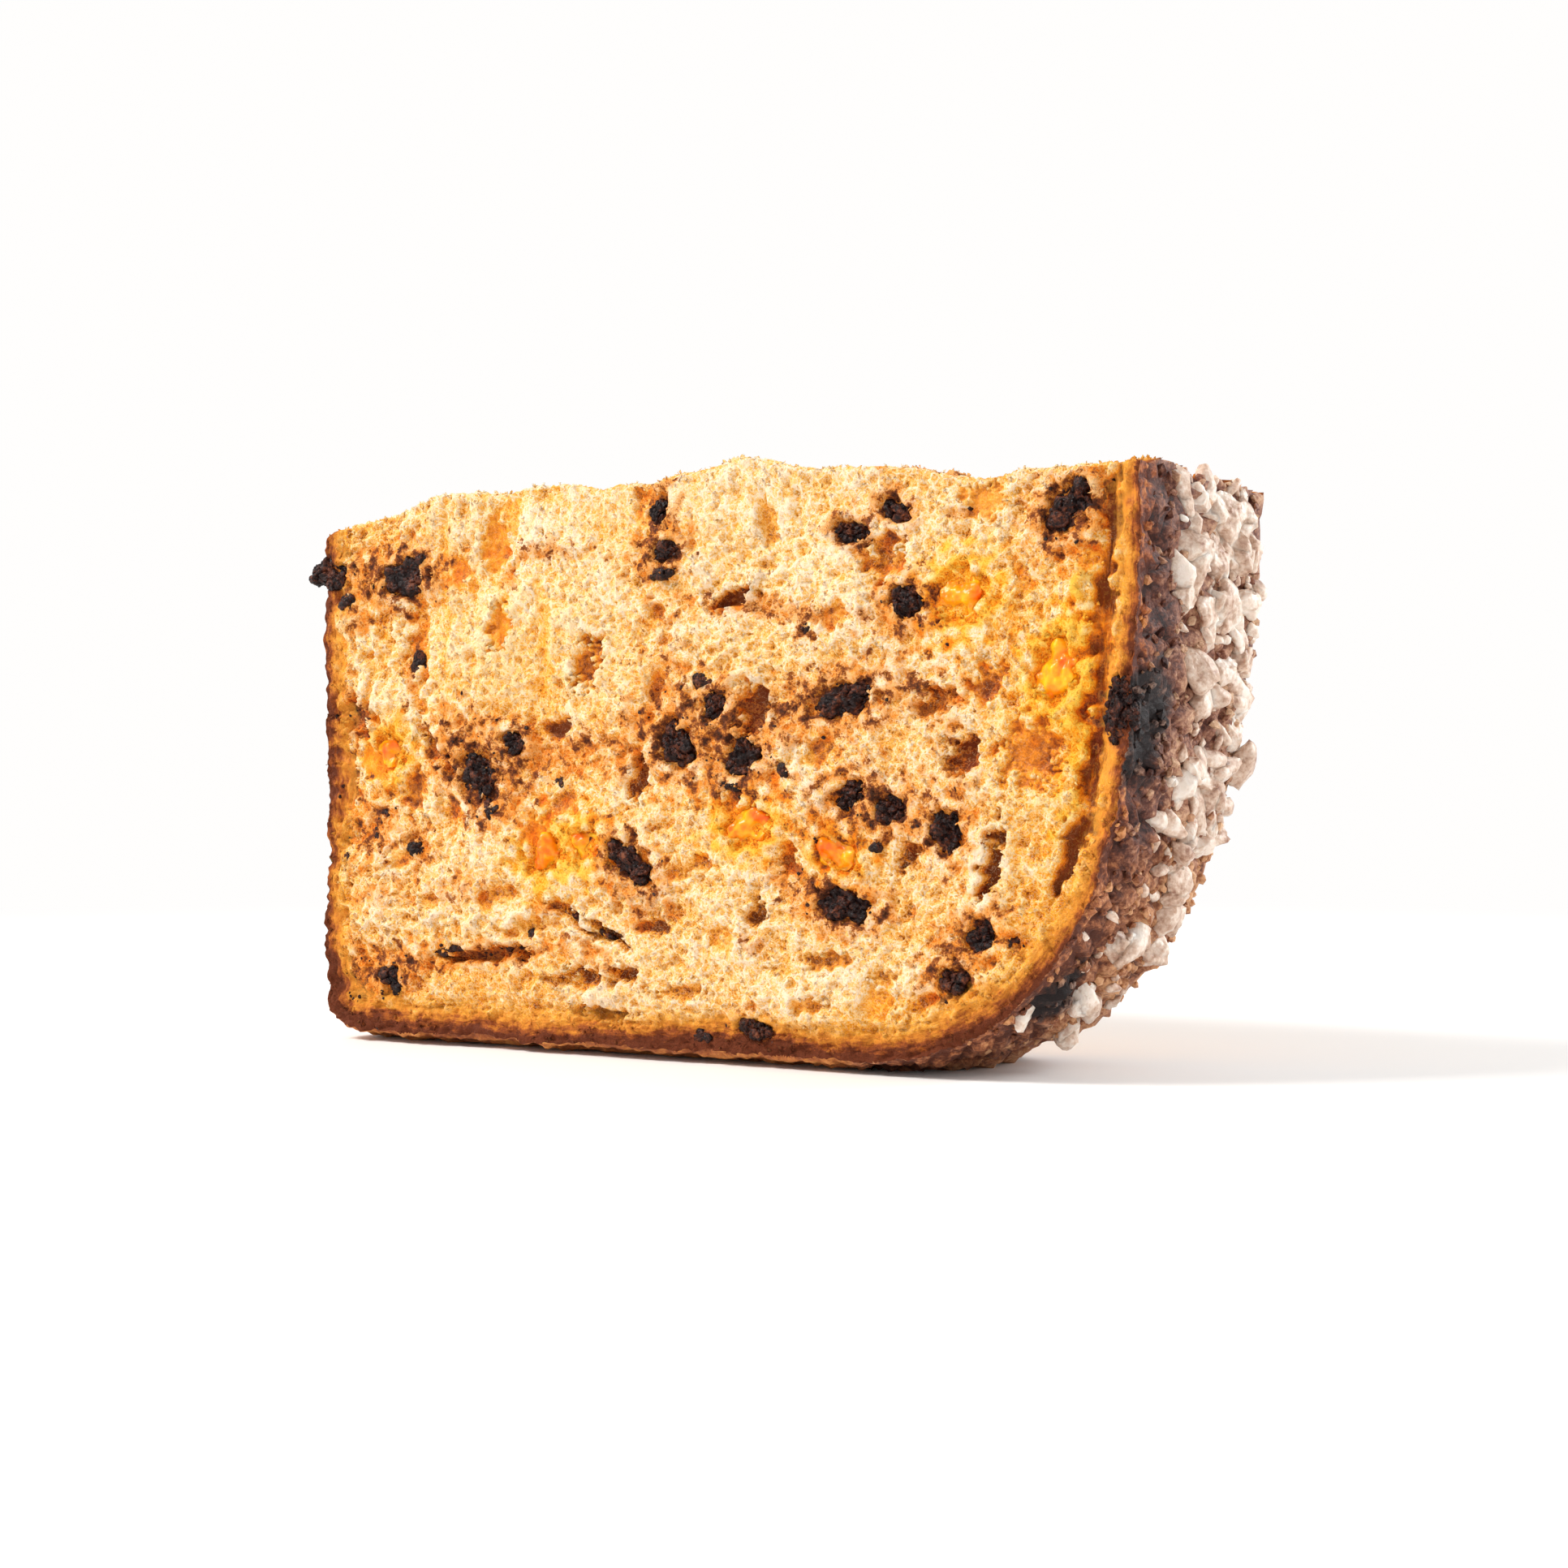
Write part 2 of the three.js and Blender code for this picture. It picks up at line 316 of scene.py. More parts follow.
def loaf_outline():
    """(x, radius) round the loaf, about half a millimetre apart."""
    turn = np.linspace(0, math.pi / 2, 20)
    corner = np.stack([BASE_CORNER * (1 - np.cos(turn)), LOAF_RADIUS - BASE_CORNER * (1 - np.sin(turn))], 1)
    base = np.stack([np.zeros(150), np.linspace(0, LOAF_RADIUS - BASE_CORNER, 150)], 1)
    wall = np.stack([np.linspace(BASE_CORNER, WALL_LENGTH, 170), np.full(170, LOAF_RADIUS)], 1)
    across = LOAF_RADIUS * np.cos(np.linspace(0, math.pi / 2, 220))
    dome = np.stack([dome_x(across), across], 1)
    return np.concatenate([base[:-1], corner[:-1], wall[:-1], dome])


outline = loaf_outline()
outline_run = np.concatenate([[0], np.cumsum(np.linalg.norm(np.diff(outline, axis=0), axis=1))])
WALL_END = outline_run[np.argmin(abs(outline[:, 0] - WALL_LENGTH) + abs(outline[:, 1] - LOAF_RADIUS))]
outline_along = np.gradient(outline, axis=0)
outline_along /= np.linalg.norm(outline_along, axis=1)[:, None]
outline_out = np.stack([-outline_along[:, 1], outline_along[:, 0]], 1)
print("outline", len(outline), "points,", round(outline_run[-1]), "mm long")

# %% [markdown]
# ## The plain slice
# As a baker would: make the whole loaf, then cut it. The outline is spun round the loaf's axis, and four
# bisect cuts leave the slice: the near cut, the far cut, the cut that halved the loaf, and the strip
# pressed flat where it stands. A voxel remesh then lays an even net of fine quads over the solid, ready to
# be shaped.


# %% Spin the loaf
def spin_loaf():
    """The whole loaf as a mesh object, in metres."""
    coarse = outline[::4]  # its last point is the outline's own, on the axis
    places = [(ORIGIN[0] + x * MM, ORIGIN[1] + AXIS_V * MM, (AXIS_Z + r) * MM) for x, r in coarse]
    mesh = bpy.data.meshes.new("panettone_bread")
    mesh.from_pydata(places, [(i, i + 1) for i in range(len(places) - 1)], [])
    loaf = bpy.data.objects.new("panettone_bread", mesh)
    bpy.context.collection.objects.link(loaf)
    bpy.context.view_layer.objects.active = loaf
    loaf.select_set(True)
    bpy.ops.object.mode_set(mode="EDIT")
    bpy.ops.mesh.select_all(action="SELECT")
    centre = (0, ORIGIN[1] + AXIS_V * MM, AXIS_Z * MM)
    bpy.ops.mesh.spin(steps=180, angle=2 * math.pi, center=centre, axis=(1, 0, 0))
    bpy.ops.mesh.select_all(action="SELECT")
    bpy.ops.mesh.remove_doubles(threshold=1e-5)
    bpy.ops.mesh.normals_make_consistent(inside=False)
    bpy.ops.object.mode_set(mode="OBJECT")
    return loaf


bpy.ops.object.select_all(action="DESELECT")
bread = spin_loaf()
print("loaf", len(bread.data.polygons), "faces")


# %% Cut the slice
def cut(place, outward):
    """Cuts away everything on the outward side of a plane, and closes the cut."""
    bpy.ops.object.mode_set(mode="EDIT")
    bpy.ops.mesh.select_all(action="SELECT")
    bpy.ops.mesh.bisect(plane_co=place, plane_no=outward, use_fill=True, clear_outer=True)
    bpy.ops.object.mode_set(mode="OBJECT")


cut((0, slice_low[1], 0), (0, -1, 0))
cut((0, slice_high[1], slice_high[2]), (0, 1, -FAR_LEAN))
cut((0, 0, slice_high[2]), (0, 0, 1))
cut((0, 0, 0), (0, 0, -1))


def in_fixed_order(item):
    """Rebuild a mesh with its points sorted by place, and its faces sorted by their points."""
    places = [tuple(point.co) for point in item.data.vertices]
    order = sorted(range(len(places)), key=places.__getitem__)
    rank = {old: new for new, old in enumerate(order)}
    rings = []
    for face in item.data.polygons:
        ring = [rank[i] for i in face.vertices]
        start = ring.index(min(ring))
        rings.append(ring[start:] + ring[:start])
    item.data.clear_geometry()
    item.data.from_pydata([places[i] for i in order], [], sorted(rings))
    item.data.update()


# The cuts leave their points in an order that changes from run to run, and the net would change with it.
in_fixed_order(bread)
print("cut slice", len(bread.data.polygons), "faces")

# %% Net of fine quads
NET = 0.4  # millimetres
net = bread.modifiers.new("net", "REMESH")
net.mode = "VOXEL"
net.voxel_size = NET * MM
bpy.ops.object.modifier_apply(modifier="net")
print("net", len(bread.data.vertices), "points")


# %% Read and write points
def points_of(item):
    """A mesh object's points in metres, one row each."""
    flat = np.empty(len(item.data.vertices) * 3, np.float32)
    item.data.vertices.foreach_get("co", flat)
    return flat.reshape(-1, 3).astype(float)


def move_points(item, places):
    item.data.vertices.foreach_set("co", places.astype(np.float32).ravel())
    item.data.update()


def smooth_step(value, low, high):
    """0 at low and 1 at high, with a smooth rise or fall between them."""
    share = np.clip((value - low) / (high - low), 0, 1)
    return share * share * (3 - 2 * share)


# %% [markdown]
# ## Relief maps
# Crumb is a foam: thin walls round bubbles of every size, torn open by the knife. Each face of the slice
# gets a height map on a fine grid, in millimetres. Noise gives it swells, clumps and fibres, and rounded
# pits give it bubbles, from half a millimetre to the long pockets under the crust. The same maps remember
# where the crumb is stained by chocolate, soaked with syrup, warm or fair in colour, or polished, so that
# the finish agrees with the shape.

# %% Relief map
PITCH = 0.25  # millimetres between a map's points
RAGGED = 0.2  # how far a pit's rim strays from an ellipse
SQUARENESS = 2.5  # 2 gives a pit round walls, and more gives steeper ones


class Relief:
    """Heights in millimetres over two directions of one face, with maps for its colours."""

    def __init__(self, low, high, seed):
        self.low = np.array(low, float)
        self.shape = tuple(np.ceil((np.array(high) - self.low) / PITCH).astype(int) + 1)
        self.a, self.b = (self.low[i] + PITCH * n for i, n in enumerate(np.indices(self.shape)))
        self.seeds = np.random.default_rng(seed)
        for layer in ("height", "holes", "calm", "polish", "stain", "warm", "fair", "syrup"):
            setattr(self, layer, np.zeros(self.shape))
        self.wobble = self.noise(3.2)
        self.fray = self.noise(1.1)
        self.bend, self.sway = self.noise(7), self.noise(7)

    def noise(self, along, across=None, turn=0.0):
        """Noise of unit spread. along and across are its wavelengths, and turn its heading in degrees."""
        across = across or along
        fa = np.fft.fftfreq(self.shape[0], PITCH)[:, None]
        fb = np.fft.fftfreq(self.shape[1], PITCH)[None, :]
        c, s = math.cos(math.radians(turn)), math.sin(math.radians(turn))
        pace = np.hypot((fa * c + fb * s) * along, (fb * c - fa * s) * across)
        waves = np.fft.fft2(self.seeds.standard_normal(self.shape)) * np.exp(-(((pace - 1) / 0.45) ** 2))
        field = np.real(np.fft.ifft2(waves))
        return field / field.std()

    def blur(self, field, reach):
        fa = np.fft.fftfreq(self.shape[0], PITCH)[:, None]
        fb = np.fft.fftfreq(self.shape[1], PITCH)[None, :]
        keep = np.exp(-2 * (math.pi * reach) ** 2 * (fa**2 + fb**2))
        return np.real(np.fft.ifft2(np.fft.fft2(field) * keep))

    def near(self, a, b, length, width, turn, reach):
        """The window round a place, and how far its points are from it: 1 is on an ellipse of that size."""
        span = reach * 0.5 * max(length, width) + 1
        first = [max(0, int((c - span - o) / PITCH)) for c, o in zip((a, b), self.low)]
        last = [max(0, int((c + span - o) / PITCH) + 1) for c, o in zip((a, b), self.low)]
        window = (slice(first[0], last[0]), slice(first[1], last[1]))
        da, db = self.a[window] - a, self.b[window] - b
        c, s = math.cos(math.radians(turn)), math.sin(math.radians(turn))
        away = np.hypot((da * c + db * s) / (length / 2), (db * c - da * s) / (width / 2))
        return window, away

    def pit(self, a, b, length, width, turn, depth, polish):
        """Presses a bubble, and polishes its walls."""
        window, away = self.near(a, b, length, width, turn, 1.5)
        away = away + 0.8 * RAGGED * self.wobble[window] + 0.7 * RAGGED * self.fray[window]
        bowl = -depth * np.sqrt(1 - np.clip(away, 0, 1) ** SQUARENESS)
        self.holes[window] = np.minimum(self.holes[window], bowl)
        self.polish[window] = np.maximum(self.polish[window], polish * smooth_step(away, 1.0, 0.8))

    def blot(self, layer, a, b, length, width, turn, amount):
        """Adds a soft patch to one of the colour maps."""
        window, away = self.near(a, b, length, width, turn, 2.2)
        field = getattr(self, layer)
        patch = amount * np.exp(-((np.maximum(away + 0.25 * self.wobble[window], 0)) ** 2))
        field[window] = 1 - (1 - field[window]) * (1 - patch)

    def groove(self, points, depth, polish):
        """Presses a long pocket along points of (a, b, width). A negative depth raises a lip."""
        away = np.full(self.shape, 9.0)
        here_a, here_b = self.a + 0.55 * self.bend, self.b + 0.55 * self.sway
        for (a0, b0, w0), (a1, b1, w1) in zip(points, points[1:]):
            run = np.array([a1 - a0, b1 - b0])
            share = ((here_a - a0) * run[0] + (here_b - b0) * run[1]) / (run @ run)
            share = np.clip(share, 0, 1)
            gap = np.hypot(here_a - a0 - share * run[0], here_b - b0 - share * run[1])
            away = np.minimum(away, gap / (0.5 * (w0 + share * (w1 - w0))))
        away = away + 0.2 * self.wobble + 0.12 * self.fray
        bowl = -depth * np.sqrt(1 - np.clip(away, 0, 1) ** SQUARENESS)
        if depth < 0:
            self.height += bowl
        else:
            self.holes = np.minimum(self.holes, bowl)
            self.polish = np.maximum(self.polish, polish * smooth_step(away, 1.0, 0.8))

    def at(self, layer, a, b):
        """A layer's value at any places, between the grid's points."""
        field = getattr(self, layer)
        u = np.clip((a - self.low[0]) / PITCH, 0, self.shape[0] - 1.001)
        v = np.clip((b - self.low[1]) / PITCH, 0, self.shape[1] - 1.001)
        i, j = u.astype(int), v.astype(int)
        u, v = u - i, v - j
        low = field[i, j] * (1 - v) + field[i, j + 1] * v
        high = field[i + 1, j] * (1 - v) + field[i + 1, j + 1] * v
        return low * (1 - u) + high * u


# %% Places of the chunks
def footprint(name, first, second):
    """A packed lump's middle, length, width and heading, seen along one axis, in the slice's millimetres."""
    places = (points_of(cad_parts[name]) - ORIGIN) / MM
    flat = places[:, (first, second)]
    middle = (flat.max(0) + flat.min(0)) / 2
    spread, heading = np.linalg.eigh(np.cov((flat - middle).T))
    length, width = 2 * np.sqrt(3 * spread[1]), 2 * np.sqrt(3 * spread[0])
    return (*middle, length, width, math.degrees(math.atan2(heading[1, 1], heading[0, 1])))


def lumps_named(start):
    return sorted(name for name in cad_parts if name.startswith(start))


first_chunk = footprint("chocolate_near_01", 0, 2)
print(len(lumps_named("chocolate_near")), "near chunks, the first at", [round(c, 1) for c in first_chunk])


# %% Crumb on a cut face
PEEL_SWELL = 1.12  # candied peel swells as it soaks, and stands wider than its packed lump
SOCKET_DEPTH = 1.4
# Size in millimetres, how many to a square millimetre, and depth.
BUBBLES = [(0.9, 0.36, 0.26), (1.5, 0.10, 0.42), (2.3, 0.014, 0.85), (3.8, 0.0022, 1.3)]
SHINY_FROM = 2.5  # larger bubbles have stretched, shiny walls


def press_sockets(relief, names, first, second, stain, syrup=0.0):
    """Sinks the crumb round each lump, and stains it with chocolate or with the syrup of the peel."""
    for name in names:
        a, b, length, width, turn = footprint(name, first, second)
        if syrup:
            length, width = length * PEEL_SWELL, width * PEEL_SWELL
            relief.blot("syrup", a, b, 1.8 * length, 1.9 * width, turn, syrup)
        window, away = relief.near(a, b, length, width, turn, 2.4)
        away = away + 0.13 * relief.wobble[window] + 0.08 * relief.fray[window]
        sunk = -SOCKET_DEPTH * smooth_step(away, 1.16, 0.78)
        relief.holes[window] = np.minimum(relief.holes[window], sunk)
        relief.calm[window] = np.maximum(relief.calm[window], smooth_step(away, 2.2, 1.0))
        if stain:
            relief.blot("stain", a, b, 1.55 * length, 1.75 * width, turn, stain)


def add_bubbles(relief, low, high, heading, seed):
    """Scatters bubbles of every size over a face. heading gives their direction at a place."""
    draw = np.random.default_rng(seed)
    area = (high[0] - low[0]) * (high[1] - low[1])
    for size, per_area, depth in BUBBLES:
        for _ in range(int(area * per_area)):
            a, b = draw.uniform(low, high)
            length = size * draw.uniform(0.75, 1.5)
            width = length * draw.uniform(0.45, 0.9)
            turn = heading(a, b) + draw.normal(0, 28)
            shine = 0.55 if size > SHINY_FROM else 0.0
            relief.pit(a, b, length, width, turn, depth * draw.uniform(0.6, 1.25), shine)


def finish_relief(relief, heading_noise):
    """Adds swells, clumps and fibres to the pits, and measures how hollow each place is, for the finish's
    painted shade.
    """
    rough = 1 - 0.75 * relief.polish
    swell = 0.5 * relief.noise(30) + 0.22 * relief.noise(11)
    crests = -0.17 * abs(relief.noise(5.5)) - 0.19 * abs(relief.noise(2.8)) - 0.14 * abs(relief.noise(1.7))
    body = swell + rough * (crests + 0.05 * relief.noise(1.2) - 0.16 * abs(heading_noise))
    relief.height += body * (1 - 0.75 * relief.calm) + relief.holes
    relief.height -= np.median(relief.height)
    # How hollow each place is: the finish paints hollows darker and more amber, as painted shade.
    relief.hollow = 0.55 * (relief.blur(relief.height, 4.0) - relief.height)
    relief.hollow += 0.75 * (relief.blur(relief.height, 1.2) - relief.height)


# %% [markdown]
# ## The near cut face
# This is the face that is looked at, so its large features are placed one by one: pockets, cracks, folds
# and chocolate smears, each by its distance from the base and its height above the floor. Small bubbles are
# scattered. They follow the dough: level in the lower third, upright near the top of the base end, and
# along the crust under the dome, where the dough was stretched as it rose. Syrup from the peel soaked into
# the crumb under the dome.

# %% Near face, large pockets
# Distance from the base, height, length, width, heading, depth, polish.
NEAR_POCKETS = [
    (78.9, 69.4, 9.0, 3.0, 14, 3.2, 1.0), (82.4, 52.6, 9.5, 5.2, 72, 3.0, 0.8),
    (62.3, 42.6, 7.5, 3.8, 75, 2.6, 0.5), (52.9, 60.6, 8.8, 5.0, 70, 3.0, 1.0),
    (36.2, 66.6, 8.0, 4.6, 80, 2.4, 1.0), (117.3, 46.0, 6.6, 5.2, 60, 2.6, 0.6),
    (121.9, 31.0, 11.5, 3.0, 78, 3.4, 0.6), (95.9, 16.4, 10.0, 2.6, 4, 1.8, 0.8),
    (83.4, 22.8, 4.6, 3.2, 70, 2.4, 0.5), (60.0, 13.0, 5.6, 2.6, -8, 2.6, 0.4),
    (52.4, 12.4, 8.0, 2.8, -10, 2.8, 0.4), (56.0, 6.6, 10.0, 2.4, -4, 2.6, 0.5),
    (33.8, 15.2, 17.0, 2.4, 6, 2.4, 0.3), (47.8, 22.4, 7.0, 2.0, -22, 1.8, 0.3),
    (55.2, 19.6, 8.0, 1.8, -24, 2.2, 0.3), (6.6, 53.0, 8.5, 6.0, -30, 3.0, 0.7),
    (3.4, 42.4, 11.0, 6.0, 88, 2.0, 1.0), (18.8, 41.0, 8.0, 4.6, 75, 1.9, 1.0),
    (28.0, 75.8, 4.0, 6.0, 0, 1.2, 0.8), (35.0, 79.5, 6.0, 9.0, 0, 1.4, 0.9),
    (46.4, 50.6, 5.6, 3.8, 20, 2.2, 0.9), (120.9, 56.0, 7.0, 4.4, 40, 1.6, 0.9),
    (113.0, 53.6, 6.4, 4.4, 20, 2.2, 0.5), (104.6, 74.6, 6.4, 7.4, 0, 1.9, 0.7),
    (120.6, 82.2, 7.0, 6.6, 0, 1.6, 1.0), (127.5, 46.5, 9.0, 10.0, 0, 1.7, 1.0),
    (41.5, 19.8, 7.0, 3.4, 20, 1.5, 0.4), (108.5, 32.0, 5.4, 3.4, 50, 2.2, 0.4),
    (64.5, 20.2, 6.0, 3.2, 0, 1.6, 0.6), (92.5, 9.8, 7.0, 2.4, 4, 1.7, 0.6),
    (70.5, 10.6, 8.0, 2.4, 4, 1.6, 0.5), (97.0, 66.5, 5.4, 4.2, 60, 1.6, 0.6),
    (85.5, 79.6, 3.6, 5.4, 10, 1.6, 0.5), (8.5, 86.0, 9.0, 4.0, 0, 1.0, 0.3),
    (65.8, 57.0, 5.6, 3.0, 60, 1.5, 0.6), (23.6, 47.0, 11.0, 2.4, -48, 2.0, 0.3),
    (74.0, 30.0, 6.0, 2.6, 6, 1.4, 0.5), (88.6, 30.8, 4.0, 5.6, 0, 1.5, 0.5),
    (15.4, 30.2, 6.0, 4.0, 0, 1.4, 0.6), (111.0, 11.0, 6.0, 2.6, 30, 1.5, 0.5),
    (104.5, 14.0, 5.4, 2.4, 10, 1.4, 0.5), (36.0, 24.8, 8.0, 2.6, 4, 1.3, 0.5),
    (22.0, 23.0, 5.0, 3.0, 10, 1.4, 0.4), (43.0, 34.6, 7.0, 5.0, 10, 1.3, 0.9),
    (47.5, 38.8, 7.0, 4.4, 8, 1.4, 0.8), (11.0, 45.6, 7.0, 7.0, 0, 1.2, 0.9),
    (64.2, 84.0, 6.0, 3.4, 0, 1.4, 0.3), (94.0, 46.5, 6.0, 4.0, 30, 1.4, 0.7),
]
print(len(NEAR_POCKETS), "pockets")

# %% Near face, folds, cracks and lips
# A run of (distance from the base, height, width), then its depth and polish. A negative depth is a lip.
NEAR_RUNS = [
    ([(141.0, 87, 3.0), (139.6, 76, 3.0), (138.4, 66, 3.4), (138.6, 56, 4.6),
      (137.6, 46, 5.2), (135.2, 36, 4.0), (131.4, 28, 2.2)], 2.2, 1.0),
    ([(136.6, 84, 2.0), (136.0, 74, 1.8), (134.6, 66, 1.6), (133.4, 60, 1.2)], -0.8, 0.0),
    ([(19.3, 73, 3.0), (18.8, 66, 3.6), (19.8, 60, 3.0), (20.4, 54, 2.0)], 1.2, 0.3),
    ([(12.4, 70, 2.6), (11.8, 62, 3.4), (9.8, 56, 2.6)], 1.0, 0.2),
    ([(3.2, 66, 3.0), (4.4, 60, 4.0), (3.6, 54, 3.0)], 1.0, 0.3),
    ([(25.5, 84, 2.0), (24.8, 76, 2.4), (25.6, 68, 2.0), (25.0, 60, 1.6)], 0.6, 0.3),
    ([(43.8, 72, 2.4), (45.2, 64, 3.0), (44.2, 57, 2.4)], 0.8, 0.4),
    ([(74.4, 68.2, 1.0), (79.0, 67.9, 1.2), (82.0, 69.6, 1.0), (84.0, 71.2, 0.8)], -1.1, 0.0),
    ([(83.5, 57.4, 1.2), (86.6, 52.0, 1.6), (88.4, 47.0, 1.2)], -1.0, 0.0),
    ([(76.0, 55.6, 1.0), (80.0, 57.6, 1.2), (83.5, 57.4, 1.0)], -0.9, 0.0),
    ([(49, 21.6, 1.2), (55, 18.9, 1.6), (59, 17.2, 1.0)], 2.4, 0.0),
    ([(24, 14.0, 1.4), (33, 15.0, 2.2), (41, 15.6, 1.2)], 2.6, 0.0),
    ([(44, 11.2, 1.6), (52, 11.8, 2.4), (60, 13.0, 1.4)], 1.6, 0.0),
    ([(20, 21.0, 1.2), (32, 20.2, 1.4), (44, 21.6, 1.0)], -0.5, 0.0),
    ([(60, 24.2, 1.2), (72, 24.8, 1.4), (86, 23.6, 1.0)], -0.5, 0.0),
    ([(0, 14, 2.4), (4, 9, 3.0), (10, 6.6, 2.4)], 1.0, 0.4),
]
print(len(NEAR_RUNS), "runs")

# %% Near face, chocolate smears
# Distance from the base, height, length, width, heading, amount.
NEAR_SMEARS = [
    (12, 76, 30, 8, 0, 0.95), (4, 60, 22, 8, 88, 0.5), (6, 53, 11, 7, -20, 0.95),
    (2.5, 43, 17, 7, 88, 0.95), (10, 35, 14, 11, 40, 0.75), (19, 32, 11, 7, 0, 0.6),
    (33, 45, 22, 13, -50, 0.85), (42, 46, 26, 7, -4, 0.6), (27, 46, 14, 5, -48, 0.7),
    (18.6, 62, 13, 4, 88, 0.75), (44, 78.4, 22, 3.6, 0, 0.6), (66, 77, 11, 8, 20, 0.75),
    (66, 86, 9, 5, 0, 0.7), (86, 67.6, 42, 5, -5, 0.62), (96, 54, 24, 9, 6, 0.75),
    (74.5, 50, 22, 13, -30, 0.8), (60.5, 46, 9, 8, 80, 0.6), (68, 61, 14, 6, -60, 0.5),
    (103, 38.6, 16, 9, -6, 0.85), (95, 34, 16, 6, -12, 0.6), (84, 42, 20, 6, 0, 0.5),
    (97, 25, 16, 7, -12, 0.75), (60, 29, 15, 8, -38, 0.7), (33, 15, 25, 4.2, 5, 0.95),
    (16, 12, 14, 6, 24, 0.85), (5, 8, 20, 18, 0, 0.95), (119, 21, 12, 7, 40, 0.75),
    (115, 15, 12, 9, 60, 0.7), (77, 4.4, 26, 4.6, 0, 0.8), (28, 25, 12, 5, 10, 0.6),
    (53, 16, 14, 4, -22, 0.6), (12, 24, 14, 6, 10, 0.5), (109, 67, 10, 7, -40, 0.7),
    (134, 80, 13, 10, 60, 0.6), (114, 54, 16, 9, 0, 0.5), (117, 45, 10, 8, 0, 0.5), (38, 74, 5, 3, 90, 0.6),
    (8, 68.5, 4, 4, 0, 0.8), (52, 48, 10, 6, 0, 0.6), (46, 22.5, 5, 2.4, 0, 0.8), (83, 18.4, 5, 4, 0, 0.6),
    (61.5, 21, 4, 3, 0, 0.8), (117.5, 80.4, 4, 2.4, 0, 0.7), (92, 65, 5, 4, 70, 0.9),
    (126, 19.5, 4, 2.6, 0, 0.7), (124, 62, 14, 10, 0, 0.3), (88, 29, 8, 6, 0, 0.5), (62, 51, 8, 6, 0, 0.5),
]

# %% Near face, warm places
# The same columns as the smears.
NEAR_WARM = [
    (2, 45, 100, 12, 90, 1.0), (14, 45, 18, 16, 0, 0.9), (17, 76, 24, 14, 0, 0.7), (46, 32, 26, 14, 0, 0.8),
    (40, 60, 60, 34, 0, 0.75), (81, 36, 18, 14, 0, 0.9), (97, 31, 14, 10, 0, 0.8),
    (117, 68, 18, 14, 0, 0.9), (134, 55, 46, 16, 86, 1.0), (126, 24, 40, 14, 50, 0.8),
    (64, 80, 26, 12, 0, 0.7), (30, 12, 70, 18, 0, 0.7), (126, 50, 20, 26, 0, 0.8), (30, 76, 14, 20, 0, 0.6),
    (37, 60, 10, 14, 0, 0.6), (100, 70, 20, 12, 0, 0.35), (60, 35, 24, 16, 0, 0.6),
    (108, 8, 40, 10, 20, 0.6), (73, 56, 30, 12, 0, 0.5),
]

# %% Near face, fair places and syrup
# The same columns again.
NEAR_FAIR = [
    (36, 68, 56, 30, 0, 1.0), (58, 82, 60, 22, 0, 0.8), (98, 76, 44, 18, 0, 0.6),
    (108, 60, 22, 14, 40, 0.4), (66, 28, 60, 18, 4, 0.35), (96, 12, 50, 12, 0, 0.4),
    (34, 28, 30, 10, 0, 0.3),
]
NEAR_SYRUP = [(135.5, 52, 44, 9, 84, 0.8)]
NEAR_PATCHES = {"syrup": NEAR_SYRUP, "stain": NEAR_SMEARS, "warm": NEAR_WARM, "fair": NEAR_FAIR}
print({layer: len(patches) for layer, patches in NEAR_PATCHES.items()}, "patches on the near face")

# %% Shape the near face
near = Relief((-8, -6), (154, 94), seed=11)
press_sockets(near, lumps_named("chocolate_near"), 0, 2, 0.95)
press_sockets(near, lumps_named("orange_peel_near"), 0, 2, 0.0, 0.95)


def near_heading(a, b):
    """Which way the bubbles run on the near face, in degrees."""
    if a > 100:
        return 88 - 1.1 * max(0.0, 55 - b)
    if b > 52 and a < 60:
        return 88
    return 4 if b < 32 else 25


for pocket in NEAR_POCKETS:
    near.pit(*pocket)
for points, depth, polish in NEAR_RUNS:
    near.groove(points, depth, polish)
for layer, patches in NEAR_PATCHES.items():
    for patch in patches:
        near.blot(layer, *patch)
add_bubbles(near, (0, 0), (146, 90), near_heading, seed=5)
level = near.noise(4.5, 1.2, 2)
upright = near.noise(4.5, 1.2, 88)
slanting = near.noise(4.5, 1.2, 50)
at_base, at_dome = smooth_step(near.a, 64, 52), smooth_step(near.a, 118, 126)
in_upper = smooth_step(near.b, 46, 58) * np.maximum(at_base, at_dome)
in_right = smooth_step(near.a, 96, 108)
threads = level * (1 - in_upper) * (1 - in_right) + upright * in_upper + slanting * in_right
finish_relief(near, threads)
print("near face relief from", round(near.height.min(), 1), "to", round(near.height.max(), 1), "mm")

# %% [markdown]
# ## The far and top cuts
# These cuts show the same crumb, with pockets and smears scattered at random round their own chunks. The
# top cut rises a little towards the near face, and its corner at the base is worn away.


# %% Small chunks on the other cuts
# Distance from the base, second distance on the cut, length, width and heading.
FAR_SMALL = [
    (22, 60, 5.0, 2.6, 40), (30, 24, 4.0, 2.2, -20), (52, 48, 4.6, 2.4, 10), (67, 70, 3.4, 2.2, 80),
    (84, 30, 4.8, 2.6, -50), (98, 58, 4.0, 2.4, 20), (112, 74, 5.0, 2.4, 60), (118, 34, 3.6, 2.2, 0),
    (44, 12, 4.2, 2.0, 5), (76, 14, 3.0, 1.8, 0),
]
TOP_SMALL = [
    (18, 14, 4.6, 2.6, 30), (38, 36, 4.2, 2.4, -30), (60, 9, 3.8, 2.4, 0), (88, 38, 5.0, 2.6, 70),
    (112, 20, 4.4, 2.4, 10),
]
print(len(FAR_SMALL), "small chunks on the far cut,", len(TOP_SMALL), "on the top cut")


